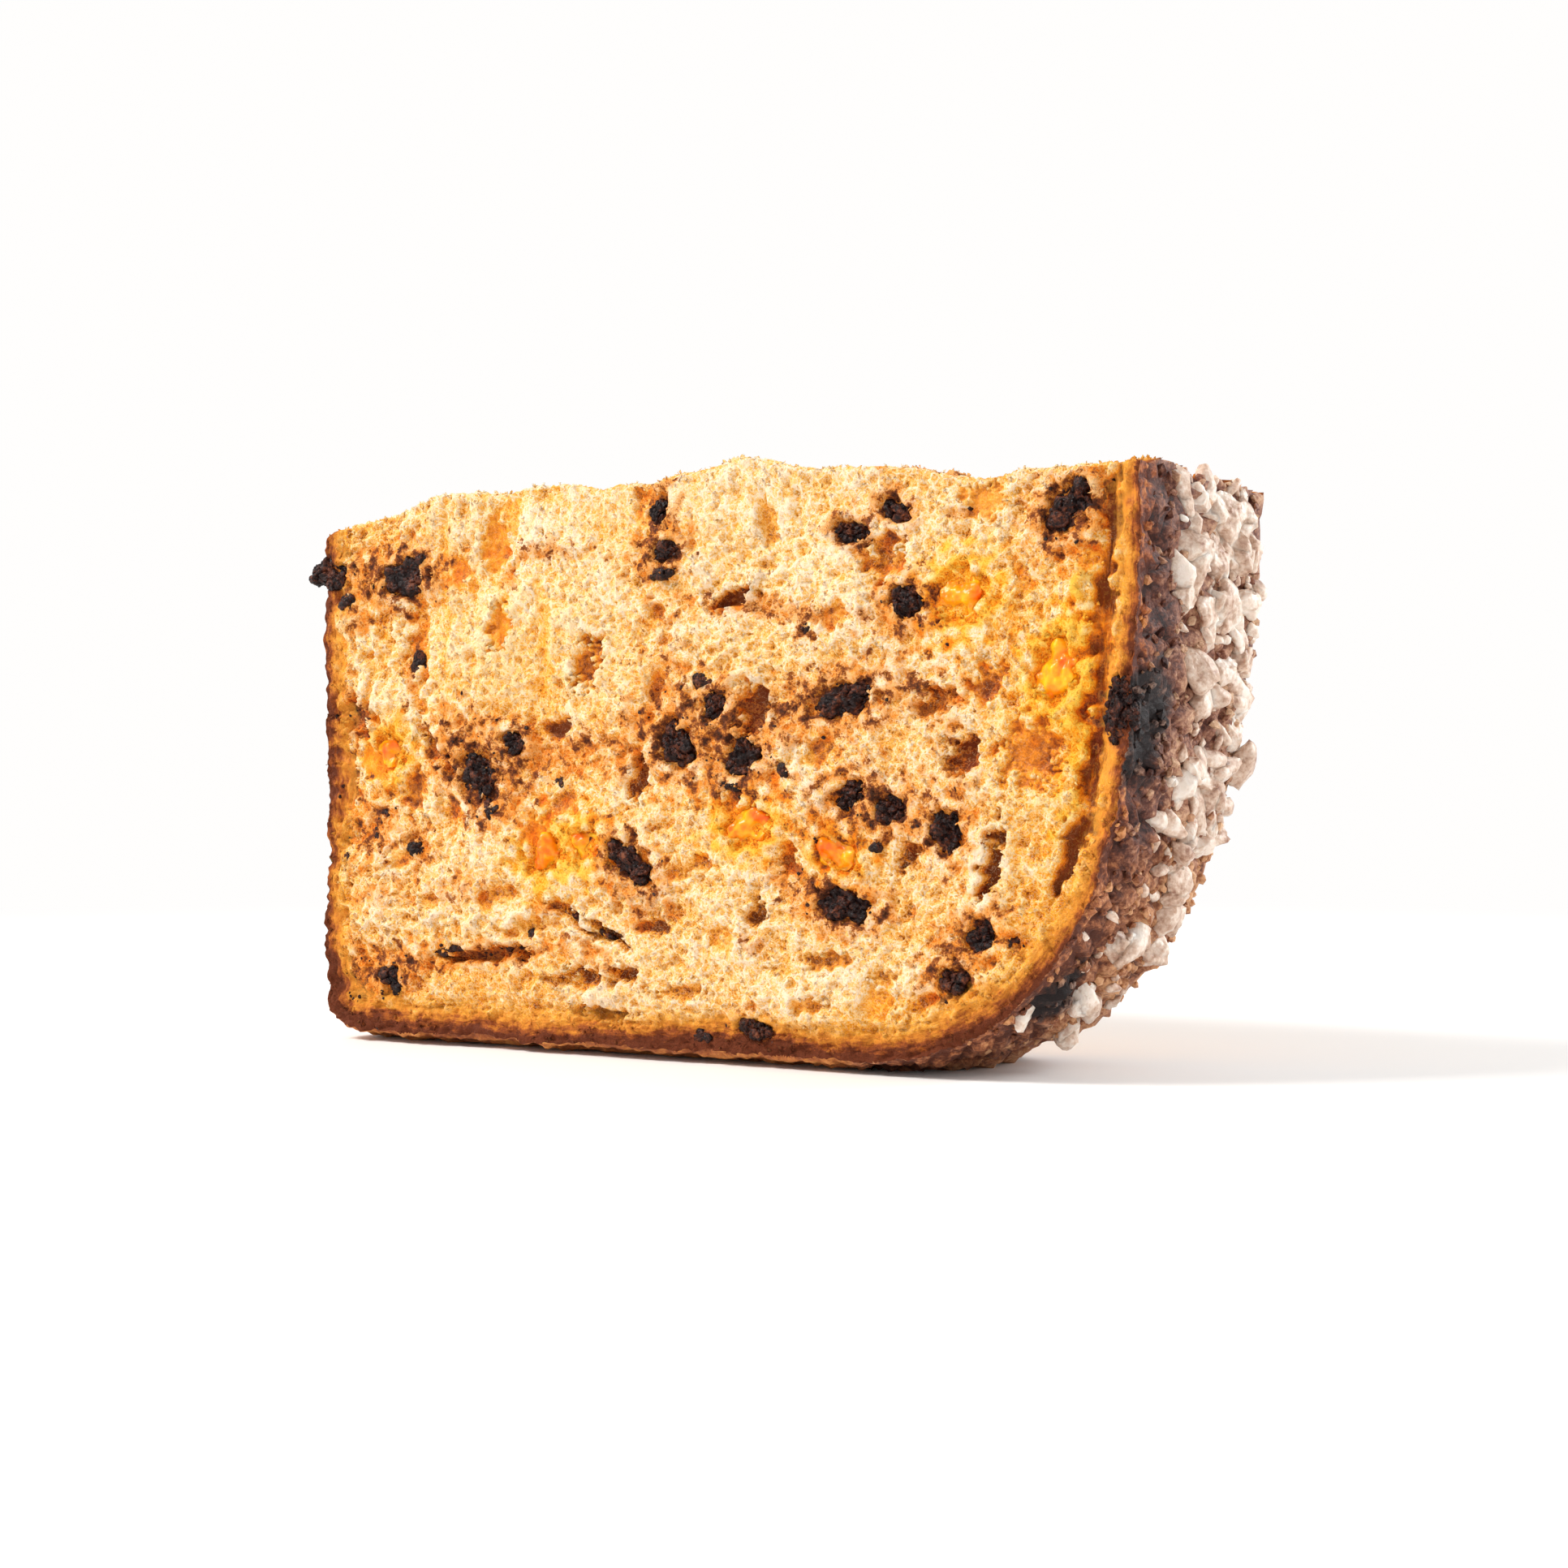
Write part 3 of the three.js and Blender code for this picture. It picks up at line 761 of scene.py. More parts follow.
# %% Scattered features
def scatter_features(relief, low, high, count, seed, small_chunks):
    """Random pockets, fair and warm places and smears, as the near face has."""
    draw = np.random.default_rng(seed)
    for _ in range(count):
        a, b = draw.uniform(low, high)
        length = draw.uniform(5, 10)
        width = length * draw.uniform(0.3, 0.7)
        turn = draw.uniform(0, 180)
        depth = draw.uniform(1.4, 2.8)
        relief.pit(a, b, length, width, turn, depth, draw.uniform(0.4, 1))
    for a, b, length, width, turn in small_chunks:
        relief.blot("stain", a, b, 3.0 * length, 3.4 * width, turn, 0.85)
    for _ in range(count // 2):
        a, b = draw.uniform(low, high)
        length, width = draw.uniform(20, 50), draw.uniform(12, 24)
        relief.blot("fair", b, a, length, width, 0, draw.uniform(0.3, 0.9))  # swapped, so it lies elsewhere
        length, width, turn = draw.uniform(14, 40), draw.uniform(10, 20), draw.uniform(0, 180)
        relief.blot("warm", a, b, length, width, turn, draw.uniform(0.5, 1))
        a, b = draw.uniform(low, high)
        length, width, turn = draw.uniform(5, 22), draw.uniform(3, 7), draw.uniform(-20, 20)
        relief.blot("stain", a, b, length, width, turn, draw.uniform(0.4, 0.85))


# %% Shape the far face
far = Relief((-8, -6), (154, 94), seed=23)
press_sockets(far, lumps_named("chocolate_far"), 0, 2, 0.95)
press_sockets(far, lumps_named("orange_peel_far"), 0, 2, 0.0, 0.95)
scatter_features(far, (4, 4), (134, 84), 44, 31, FAR_SMALL)
under_dome = [(139.6, 87, 3.0), (138.0, 70, 4.0), (136.0, 52, 4.5), (131.0, 34, 3.6), (122.0, 20, 2.4)]
far.groove(under_dome, 2.0, 1.0)
far.blot("warm", 2, 45, 100, 12, 90, 1.0)
far.blot("warm", 132, 50, 60, 16, 84, 1.0)
add_bubbles(far, (0, 0), (146, 90), near_heading, seed=6)
finish_relief(far, far.noise(4.5, 1.2, 10))
print("far face relief from", round(far.height.min(), 1), "to", round(far.height.max(), 1), "mm")

# %% Shape the top cut
top = Relief((-8, -6), (154, 60), seed=37)
press_sockets(top, lumps_named("chocolate_top"), 0, 1, 0.95)
scatter_features(top, (6, 4), (136, 48), 24, 41, TOP_SMALL)
top.blot("warm", 3, 25, 60, 12, 90, 1.0)
add_bubbles(top, (0, 0), (146, 54), lambda a, b: 0.0, seed=7)
# Distance from the base, and how far the cut stands above or below its level at the near edge.
EDGE_RISE = [
    (0, -5.5), (2.5, -2.6), (5.2, -0.6), (24, 0.9), (40, 1.8), (64, 2.0), (79, 3.2), (93, 1.7),
    (106, 0.3), (116, -1.0), (125, 0.2), (136, -0.6), (145, 0.2),
]
rise = np.interp(top.a, *zip(*EDGE_RISE))
finish_relief(top, top.noise(4.5, 1.2, 0))
top.height += np.where(rise > 0, rise * np.exp(-((top.b / 22) ** 2)), rise)
print("top relief from", round(top.height.min(), 1), "to", round(top.height.max(), 1), "mm")

# %% [markdown]
# ## The crust and the glaze
# The base and the side wall were against paper: thin, matt crust with small pits and the faint flutes of
# the mould. The dome was brushed with an almond and egg-white glaze, which set dark, lumpy and cracked like
# a macaroon. One relief map runs along the loaf's outline, from the base round to the crown, and across the
# slice.

# %% Noise in space
def waves(places, size, seed):
    """Smooth noise of unit spread in space, with features of about size millimetres: many waves added up."""
    count = 48
    draw = np.random.default_rng(seed)
    heading = draw.normal(size=(count, 3))
    heading /= np.linalg.norm(heading, axis=1)[:, None]
    pace = 2 * math.pi / (size * draw.uniform(0.75, 1.4, count))
    phase = draw.uniform(0, 2 * math.pi, count)
    return np.cos(places @ (heading * pace[:, None]).T + phase).sum(1) / math.sqrt(count / 2)


def scatter_blocks(low, high, size, seed):
    """Random middles for blocks that fill a box, as a search tree, with a height for each block."""
    draw = np.random.default_rng(seed)
    low, high = np.array(low, float), np.array(high, float)
    count = max(6, int(np.prod((high - low) / size + 0.5)))
    tree = KDTree(count)
    for number, middle in enumerate(low + draw.random((count, 3)) * (high - low)):
        tree.insert(middle, number)
    tree.balance()
    return tree, draw.random(count)


def in_blocks(places, block_set):
    """The height of the block that each place is in, and how far the place is inside it."""
    tree, tall = block_set
    found = [tree.find_n(place, 2) for place in places]
    height = np.array([tall[pair[0][1]] for pair in found])
    inside = np.array([pair[1][2] - pair[0][2] for pair in found])
    return height, inside


# %% Relief of the outside
skin = Relief((-4, -6), (outline_run[-1] + 4, 60), seed=53)
skin.dome = smooth_step(skin.a + 2.0 * skin.noise(14), WALL_END - 3, WALL_END + 6)
on_wall = smooth_step(skin.a, LOAF_RADIUS - 2, LOAF_RADIUS + 10)
flutes = 0.16 * on_wall * np.sin(2 * math.pi * (skin.b + 0.5 * skin.noise(20)) / 4.2)
skin.height = flutes + 0.16 * skin.noise(9) + 0.12 * skin.noise(3.5) + 0.08 * skin.noise(1.5)
# How hollow each place is, which the crust's finish paints darker as painted shade.
skin.hollow = 0.8 * (skin.blur(skin.height, 2.0) - skin.height)
skin.hollow += 0.4 * (skin.blur(skin.height, 0.8) - skin.height)

# %% Relief of the glaze
GLAZE_LOW, GLAZE_HIGH = (85, -6, -6), (152, 62, 94)  # a box round the dome, in millimetres of the slice
PLATES = scatter_blocks(GLAZE_LOW, GLAZE_HIGH, 5.5, seed=61)
LUMPS = scatter_blocks(GLAZE_LOW, GLAZE_HIGH, 2.4, seed=62)


def glaze_relief(places):
    """Height of the glaze in millimetres, and how deep in a crease each place is, from 0 to 1, counting low
    plates a little deeper: the finish paints this as shade.
    """
    bent = places + 0.5 * np.stack([waves(places, 6, 63), waves(places, 6, 64), waves(places, 6, 65)], 1)
    tall, inside = in_blocks(bent, PLATES)
    small_tall, small_inside = in_blocks(bent, LUMPS)
    height = 0.8 * smooth_step(inside, 0.0, 1.5) + 1.0 * tall - 0.9
    height += 0.45 * smooth_step(small_inside, 0.0, 0.8) + 0.4 * small_tall - 0.4
    height += 0.3 * waves(places, 7, 66) + 0.12 * waves(places, 1.3, 67)
    crease = 0.6 * smooth_step(inside, 1.1, 0.0) + 0.4 * smooth_step(small_inside, 0.6, 0.0) - 0.35 * tall
    return height, crease


print("outside relief from", round(skin.height.min(), 1), "to", round(skin.height.max(), 1), "mm")

# %% [markdown]
# ## Shaping the bread
# Each point of the net moves by the reliefs of the faces that it lies on. A relief acts fully on its own
# face and fades out a few millimetres inside, so two faces share their edge without a gap. Where the crumb
# meets the crust, the knife cut it cleaner, so the crumb's relief is weaker there.


# %% Distance to the outside
def to_outline(places):
    """For points in millimetres: depth under the loaf's surface, run along its outline, and the way out."""
    radius = np.hypot(places[:, 1] - AXIS_V, places[:, 2] - AXIS_Z)
    flat = np.stack([places[:, 0], radius], 1)
    best = np.empty(len(flat), int)
    for start in range(0, len(flat), 20000):
        part = flat[start : start + 20000]
        gap = (part[:, :1] - outline[:, 0]) ** 2 + (part[:, 1:] - outline[:, 1]) ** 2
        best[start : start + 20000] = gap.argmin(1)
    offset = flat - outline[best]
    depth = -(offset * outline_out[best]).sum(1)
    run = outline_run[best] + (offset * outline_along[best]).sum(1)
    out = outline_out[best]
    share = out[:, 1] / np.maximum(radius, 1)
    way = np.stack([out[:, 0], share * (places[:, 1] - AXIS_V), share * (places[:, 2] - AXIS_Z)], 1)
    return depth, run, way


base_net = (points_of(bread) - ORIGIN) / MM
under, run, way_out = to_outline(base_net)
print("deepest point is", round(under.max()), "mm under the crust")

# %% Dome layers
def dome_layers(places, under, run):
    """For each place: how much it belongs to the dome, its glaze height and how deep in a crease it is."""
    dome = skin.at("dome", run, places[:, 1])
    height, crease = np.zeros(len(places)), np.zeros(len(places))
    glazed = (dome > 0) & (under < 8)
    height[glazed], crease[glazed] = glaze_relief(places[glazed])
    from_cut = np.minimum(places[:, 1], THICK - (TOP - places[:, 2]) * FAR_LEAN - places[:, 1])
    height *= 0.25 + 0.75 * smooth_step(from_cut, 0.0, 5.0)
    return dome, height, crease


# %% Move the net
FADE = 7.0  # millimetres below a face where its relief ends
x, v, z = base_net.T
far_v = THICK - (TOP - z) * FAR_LEAN
beside = Relief((-4, -1), (outline_run[-1] + 4, 14), seed=59)  # strings of crumb that run along the crust
beside.height = -0.26 * abs(beside.noise(8, 1.6)) - 0.2 * abs(beside.noise(3, 1.1))
beside.height -= 0.2 * abs(beside.noise(2.2))
calm_edge = 0.3 + 0.7 * smooth_step(under, 0.8, 5.5)
strings = beside.at("height", run, under) * smooth_step(under, 9, 4)


def faded(depth):
    return smooth_step(depth, FADE, 0.0)


moved = base_net.copy()
moved[:, 1] -= (near.at("height", x, z) * calm_edge + strings) * faded(v)
moved[:, 1] += (far.at("height", x, z) * calm_edge + strings) * faded(far_v - v)
moved[:, 2] += top.at("height", x, v) * (0.35 + 0.65 * calm_edge) * faded(TOP - z)
dome, glaze_height, crease = dome_layers(base_net, under, run)
outside_height = skin.at("height", run, v) * (1 - dome) + glaze_height * dome
moved += (outside_height * faded(under))[:, None] * way_out
moved[:, 2] = np.maximum(moved[:, 2], 0.0)
place_layer = bread.data.attributes.new("cut_place", "FLOAT_VECTOR", "POINT")
place_layer.data.foreach_set("vector", base_net.astype(np.float32).ravel())
move_points(bread, ORIGIN + moved * MM)

# %% Spend the faces where the detail is
FACE_LIMIT = 196000
NEAR_LAYER = 2.5  # millimetres behind the near cut whose faces are merged half as readily as the others
triangles = sum(len(p.vertices) - 2 for p in bread.data.polygons)
seldom_seen = bread.vertex_groups.new(name="seldom_seen")
seldom_seen.add(np.flatnonzero(v >= NEAR_LAYER).tolist(), 1.0, "REPLACE")
seldom_seen.add(np.flatnonzero(v < NEAR_LAYER).tolist(), 0.5, "REPLACE")
thinner = bread.modifiers.new("thinner", "DECIMATE")
thinner.vertex_group = "seldom_seen"
thinner.ratio = FACE_LIMIT / triangles
thinner.use_collapse_triangulate = True
bpy.context.view_layer.objects.active = bread
bpy.ops.object.modifier_apply(modifier="thinner")
bread.vertex_groups.clear()
thinned = points_of(bread)
thinned[:, 2] = np.maximum(thinned[:, 2], 0.0)
move_points(bread, thinned)
print("bread", triangles, "triangles, thinned to", len(bread.data.polygons))
print("points on the near cut", int((thinned[:, 1] < ORIGIN[1] + 2 * MM).sum()), "of", len(thinned))

# %% Colour layers on the bread
flat = np.empty(len(bread.data.vertices) * 3, np.float32)
bread.data.attributes["cut_place"].data.foreach_get("vector", flat)
bread.data.attributes.remove(bread.data.attributes["cut_place"])
base_points = flat.reshape(-1, 3).astype(float)
under, run, way_out = to_outline(base_points)
x, v, z = base_points.T
far_v = THICK - (TOP - z) * FAR_LEAN
nearness = np.stack([v, far_v - v, TOP - z, under], 1)
face_of = nearness.argmin(1)  # 0 near cut, 1 far cut, 2 top cut, 3 outside
OUTSIDE = 3


def layer_values(layer):
    """A colour layer at every point, read from the relief of the face that it lies on."""
    reliefs = (near, far, top, skin)
    coords = ((x, z), (x, z), (x, v), (run, v))
    values = [relief.at(layer, *place) for relief, place in zip(reliefs, coords)]
    return np.choose(face_of, values)


def add_layer(item, name, values):
    layer = item.data.attributes.new(name, "FLOAT", "POINT")
    layer.data.foreach_set("value", np.asarray(values, np.float32))


dome, _, crease = dome_layers(base_points, under, run)
# The hollows of the crust and the creases of the glaze, which the crust's finish paints as shade.
outside_hollow = crease * dome + skin.at("hollow", run, v) * (1 - dome)
bread_layers = {name: layer_values(name) for name in ("hollow", "stain", "warm", "fair", "syrup", "polish")}
bread_layers["hollow"] = np.where(face_of == OUTSIDE, outside_hollow, bread_layers["hollow"])
bread_layers["under"] = np.clip(under, 0, 9)
bread_layers["dome"] = dome
bread_layers["from_near"] = np.clip(v, 0, 60)
bread_layers["along"] = run
for name, values in bread_layers.items():
    add_layer(bread, name, values)
    print(name, "from", round(float(values.min()), 2), "to", round(float(values.max()), 2))

# %% [markdown]
# ## The crumb's finish
# Crumb is pale cream on its torn crests. In its hollows and bubbles the colour is painted golden, then amber
# and darker:
# painted shade, and the colour of light that bounces between their walls. So its colour follows how hollow a
# place is.
# Chocolate that melted in the oven stains it orange-brown, with dark specks, and syrup round the peel turns
# it yellow.
# Towards the crust it is baked brown. Light soaks in a little, which the subsurface setting gives.


# %% Crumb colours
# Each ramp runs from a torn crest to a deep bubble, where painted shade darkens it, or from the crust
# inwards, in linear colour.
PALE_CRUMB_TO_SHADE = [
    (0.0, (0.97, 0.76, 0.54)), (0.24, (0.95, 0.62, 0.265)), (0.46, (0.88, 0.45, 0.088)),
    (0.68, (0.74, 0.28, 0.024)), (0.88, (0.42, 0.135, 0.014)), (1.0, (0.18, 0.05, 0.008)),
]
GOLD_CRUMB_TO_SHADE = [
    (0.0, (0.96, 0.68, 0.35)), (0.24, (0.94, 0.52, 0.13)), (0.46, (0.88, 0.37, 0.030)),
    (0.68, (0.75, 0.235, 0.012)), (0.88, (0.42, 0.11, 0.008)), (1.0, (0.18, 0.04, 0.006)),
]
SMEAR = [
    (0.52, (0.55, 0.19, 0.03)), (0.66, (0.32, 0.085, 0.018)), (0.82, (0.13, 0.032, 0.012)),
    (1.0, (0.04, 0.012, 0.008)),
]
BAKED = [
    (0.0, (0.14, 0.032, 0.011)), (0.16, (0.34, 0.085, 0.018)), (0.36, (0.68, 0.24, 0.028)),
    (0.7, (0.90, 0.42, 0.05)),
]
PALE_STRAND_AND_HIGHLIGHT = (0.97, 0.74, 0.48)
SYRUP_TINT = (1.0, 0.80, 0.20)
CHOCOLATE_TINT = (0.86, 0.52, 0.24)


# %% Crumb finish
def crumb_tone_and_shade(n, rough, grain, torn, strings, clouds, beside):
    """How dark and amber the crumb is painted at each place, 0 on a torn crest and 1 deep in a bubble:
    painted shade in hollows and between the foam's walls, with grain, flecks, strings, clouds, polish and
    fair places.
    """
    fleck = n.math("SUBTRACT", 0.5, n.noise(0.3, 3, 0.7))
    # Painted shade: the crumb is painted darker and more amber where it is hollow.
    tone = n.plus(0.55, n.attribute("hollow"), 0.34)
    tone = n.plus(tone, n.times(grain, rough), 0.85)
    tone = n.plus(tone, n.times(fleck, rough), 1.05)
    # Painted shade: the bubbles between the foam's walls are painted darker than the walls.
    walls = n.times(torn, n.span(beside, 0.0, 1.0, 1.0, 0.5))
    tone = n.plus(tone, walls, n.times(rough, -0.32))
    tone = n.plus(tone, strings, 1.1)
    tone = n.plus(tone, clouds, 0.5)
    tone = n.plus(tone, n.attribute("polish"), 0.16)
    return n.plus(tone, n.attribute("fair"), -0.22)


def crumb_finish():
    material, shader = new_material("golden_crumb")
    n = Nodes(material)
    stain, polish = n.attribute("stain"), n.attribute("polish")
    under_crust, along = n.attribute("under"), n.attribute("along")
    rough = n.plus(1.0, polish, -0.75)
    grain = n.math("SUBTRACT", 0.5, n.noise(0.6, 5, 0.7))
    clouds = n.drift(6.0, 4, 0.6)
    torn = n.plus(n.foam(1.7, 0.17), n.foam(0.75, 0.2), 0.5)
    beside = n.span(under_crust, 7.5, 4.5)
    string_place = n.vector(n.times(under_crust, MM), 0.0, n.times(along, MM / 9))
    strings = n.times(n.drift(0.7, 4, 0.65, string_place), beside)

    # The crumb itself: pale or gold, with pale strands.
    tone = crumb_tone_and_shade(n, rough, grain, torn, strings, clouds, beside)
    warmth = n.plus(n.plus(n.attribute("warm"), polish, 0.4), clouds, 1.2)
    dome_side = n.span(along, WALL_END - 4, WALL_END + 10)
    stretched = n.times(n.span(under_crust, 9.0, 5.5), dome_side)
    warmth = n.math("ADD", stretched, n.span(warmth, 0.1, 0.85))
    colour = n.mix(warmth, n.ramp(tone, PALE_CRUMB_TO_SHADE), n.ramp(tone, GOLD_CRUMB_TO_SHADE))
    # Pale strands: thin fibres painted paler, partly their own colour and partly a painted highlight.
    strands = n.span(n.math("ABSOLUTE", n.drift(0.8, 2)), 0.03, 0.0)
    colour = n.mix(n.times(strands, n.times(rough, 0.5)), colour, PALE_STRAND_AND_HIGHLIGHT)

    # Syrup and chocolate soak in, and chocolate leaves dark specks.
    syrup = n.span(n.plus(n.attribute("syrup"), clouds, 0.8), 0.15, 0.75)
    colour = n.mix(syrup, colour, n.mix(1.0, colour, SYRUP_TINT, "MULTIPLY"))
    tint = n.span(n.plus(stain, clouds, 0.9), 0.12, 0.8)
    colour = n.mix(tint, colour, n.mix(1.0, colour, CHOCOLATE_TINT, "MULTIPLY"))
    blotch = n.times(n.drift(2.3, 5, 0.7), n.span(stain, 0.0, 0.4, 1.2, 3.0))
    specks = n.plus(n.plus(blotch, stain, 0.74), torn, -0.08)
    colour = n.mix(n.span(specks, 0.44, 0.62, 0.0, 0.97), colour, n.ramp(specks, SMEAR))

    # It is baked brown beside the crust, with a ragged edge, and less deep at the base than elsewhere.
    ragged = n.plus(under_crust, n.drift(2.6, 6, 0.68), 5.2)
    ragged = n.plus(n.plus(ragged, stain, -1.5), strings, 4.0)
    dome_crust = n.span(along, WALL_END + 25, WALL_END + 55, -1.2, 0.5)
    base_crust = n.span(along, LOAF_RADIUS - 3, LOAF_RADIUS - 24, 0.0, 1.3)
    ragged = n.math("ADD", n.math("ADD", dome_crust, ragged), base_crust)
    colour = n.mix(n.span(ragged, 5.0, 1.6), colour, n.ramp(n.times(ragged, 0.2), BAKED))
    n.feed(colour, shader.inputs["Base Color"])
    n.feed(n.span(polish, 0.0, 1.0, 0.8, 0.45), shader.inputs["Roughness"])
    shader.inputs["Subsurface Weight"].default_value = 0.1
    shader.inputs["Subsurface Radius"].default_value = (1.0, 0.8, 0.6)
    shader.inputs["Subsurface Scale"].default_value = 0.0006
    shader.inputs["Specular IOR Level"].default_value = 0.15
    normal = n.bump(n.times(grain, rough), -0.6, 0.6)
    normal = n.bump(n.times(torn, rough), 0.3, 0.5, normal)
    normal = n.bump(strings, -0.8, 0.5, normal)
    n.feed(normal, shader.inputs["Normal"])
    return material


crumb = crumb_finish()

# %% [markdown]
# ## The crust's finish
# The base and the wall are matt brown, mottled, and pocked where they met the paper; the pocks and hollows
# are painted darker, as painted shade. The dome's glaze is dark, painted nearly black in its creases and on
# its lower plates as their shade, and sugary on its lumps. It is rusty beside the near cut, toasted near the
# floor, and scorched in two places. One material holds both finishes, and the layer dome says which of them a
# place has.

# %% Crust colours
# Each ramp runs from dark to light; the dark ends serve both for the crust's own darker colour and for the
# painted shade in hollows, pocks and creases.
PLAIN_CRUST = [
    (0.22, (0.16, 0.040, 0.015)), (0.42, (0.34, 0.10, 0.03)), (0.58, (0.52, 0.185, 0.045)),
    (0.8, (0.72, 0.33, 0.09)),
]
DARK_GLAZE = [
    (0.08, (0.020, 0.006, 0.005)), (0.34, (0.11, 0.033, 0.020)), (0.54, (0.26, 0.105, 0.062)),
    (0.74, (0.47, 0.25, 0.15)), (1.0, (0.70, 0.47, 0.30)),
]
RUSTY_GLAZE = [(0.16, (0.10, 0.022, 0.009)), (0.36, (0.32, 0.085, 0.026)), (0.6, (0.64, 0.25, 0.07))]
TOASTED_GLAZE = [(0.2, (0.10, 0.025, 0.010)), (0.48, (0.36, 0.13, 0.055)), (0.8, (0.72, 0.38, 0.18))]
SCORCHED_GLAZE = [(0.3, (0.010, 0.005, 0.005)), (0.5, (0.045, 0.020, 0.015)), (0.75, (0.26, 0.16, 0.12))]
# Middles of the scorched places (from the base, from the near cut, height), and their reach.
SCORCHED = [((140, 4, 51), 11.0), ((126, 8, 14), 8.0)]
print(len(SCORCHED), "scorched places")


# %% Crust and glaze finish
def glaze_colour(n, mottle, fine):
    """The dome's colour, from its creases, which get painted shade, its height and the distance from the near
    cut.
    """
    from_near = n.attribute("from_near")
    # Painted shade: the glaze is painted darker in its creases and on its lower plates.
    tone = n.plus(0.42, n.attribute("hollow"), -0.42)
    tone = n.plus(tone, fine, 1.2)
    tone = n.plus(tone, n.drift(2.4, 4, 0.6), 0.9)
    tone = n.math("ADD", tone, n.span(from_near, 5.0, 19.0, -0.1, 0.2))
    dark = n.ramp(tone, DARK_GLAZE)
    edge = n.plus(from_near, mottle, 13.0)
    dark = n.mix(n.span(edge, 6.5, 2.0), dark, n.ramp(tone, RUSTY_GLAZE))
    height = n.add("ShaderNodeSeparateXYZ")
    n.feed(n.place, height.inputs[0])
    low = n.span(n.plus(height.outputs["Z"], mottle, 0.05), 0.042, 0.026, 0.0, 0.75)
    dark = n.mix(low, dark, n.ramp(tone, TOASTED_GLAZE))
    for middle, reach in SCORCHED:
        gap = n.add("ShaderNodeVectorMath", operation="DISTANCE")
        n.feed(n.place, gap.inputs[0])
        gap.inputs[1].default_value = ORIGIN + np.array(middle) * MM
        gap = n.plus(gap.outputs["Value"], mottle, 0.012)
        dark = n.mix(n.span(gap, reach * MM, 0.55 * reach * MM), dark, n.ramp(tone, SCORCHED_GLAZE))
    return dark


def crust_finish():
    """Matt brown crust on the base and the wall, and dark, sugary glaze on the dome."""
    material, shader = new_material("crust_and_glaze")
    n = Nodes(material)
    dome = n.attribute("dome")
    mottle = n.drift(5.0, 5, 0.65)
    fine = n.drift(0.7, 5, 0.65)
    shaded_pocks = n.span(n.cells(2.0), 0.34, 0.12)
    brown_tone = n.plus(n.plus(0.5, mottle, 0.7), fine, 0.7)
    brown_tone = n.plus(brown_tone, n.drift(18.0, 3), 0.7)
    # Painted shade: hollows and pocks are painted darker.
    brown_tone = n.plus(n.plus(brown_tone, n.attribute("hollow"), -0.3), shaded_pocks, -0.10)
    brown = n.ramp(brown_tone, PLAIN_CRUST)
    dark = glaze_colour(n, mottle, fine)
    colour = n.mix(dome, brown, dark)
    n.feed(colour, shader.inputs["Base Color"])
    n.feed(n.span(dome, 0.0, 1.0, 0.72, 0.5), shader.inputs["Roughness"])
    shader.inputs["Specular IOR Level"].default_value = 0.25
    shader.inputs["Subsurface Weight"].default_value = 0.08
    shader.inputs["Subsurface Radius"].default_value = (1.0, 0.5, 0.3)
    shader.inputs["Subsurface Scale"].default_value = 0.001
    normal = n.bump(n.noise(0.6, 5, 0.65), 0.45, 0.8)
    normal = n.bump(n.span(n.cells(1.6), 0.1, 0.45), 0.25, n.span(dome, 0.0, 1.0, 0.7, 0.3), normal)
    n.feed(normal, shader.inputs["Normal"])
    return material


crust = crust_finish()

# %% Give the bread its finishes
# A face is crust when two of its corners are on the outside, or when it looks outwards from the rim of a cut.
CRUST_DEPTH = 0.4  # millimetres
bread.data.materials.clear()
bread.data.materials.append(crumb)
bread.data.materials.append(crust)
corners = np.empty(len(bread.data.polygons) * 3, int)
bread.data.polygons.foreach_get("vertices", corners)
corners = corners.reshape(-1, 3)
facing = np.empty(corners.size, np.float32)
bread.data.polygons.foreach_get("normal", facing)
looks_out = (facing.reshape(-1, 3) * way_out[corners].mean(1)).sum(1) > 0.7
outside_corners = ((under < CRUST_DEPTH) & (face_of == OUTSIDE))[corners].sum(1)
at_rim = (outside_corners == 1) & (under[corners].max(1) < 1.0)
at_back_rim = (v[corners].min(1) > 1.0) & (under[corners].mean(1) < 1.5)
is_crust = (outside_corners >= 2) | (looks_out & (at_rim | at_back_rim))
bread.data.polygons.foreach_set("material_index", is_crust.astype(np.int32))
bread.data.polygons.foreach_set("use_smooth", np.ones(len(bread.data.polygons), bool))
bread.data.update()
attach(bread, "root")
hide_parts("panettone_slice")
print("crust faces", int(is_crust.sum()), "of", len(is_crust))

# %% [markdown]
# ## Chocolate chunks
# Each chunk is a broken piece of dark chocolate that half melted and set again: near black, crumbly, with
# small dry facets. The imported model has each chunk's size and place, so a copy of it is welded, subdivided
# and then roughened: blocks at about a millimetre, finer grain on top.


# %% Chunk helpers
def copy_of(node, name, levels):
    """A welded, smoothly subdivided copy of a packed lump."""
    bpy.ops.object.select_all(action="DESELECT")
    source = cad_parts[node]
    piece = bpy.data.objects.new(name, source.data.copy())
    bpy.context.collection.objects.link(piece)
    bpy.context.view_layer.objects.active = piece
    piece.select_set(True)
    piece.data.materials.clear()
    bpy.ops.object.mode_set(mode="EDIT")
    bpy.ops.mesh.select_all(action="SELECT")
    bpy.ops.mesh.remove_doubles(threshold=1e-5)
    bpy.ops.object.mode_set(mode="OBJECT")
    rounded = piece.modifiers.new("rounded", "SUBSURF")
    rounded.levels = rounded.render_levels = levels
    bpy.ops.object.modifier_apply(modifier="rounded")
    return piece


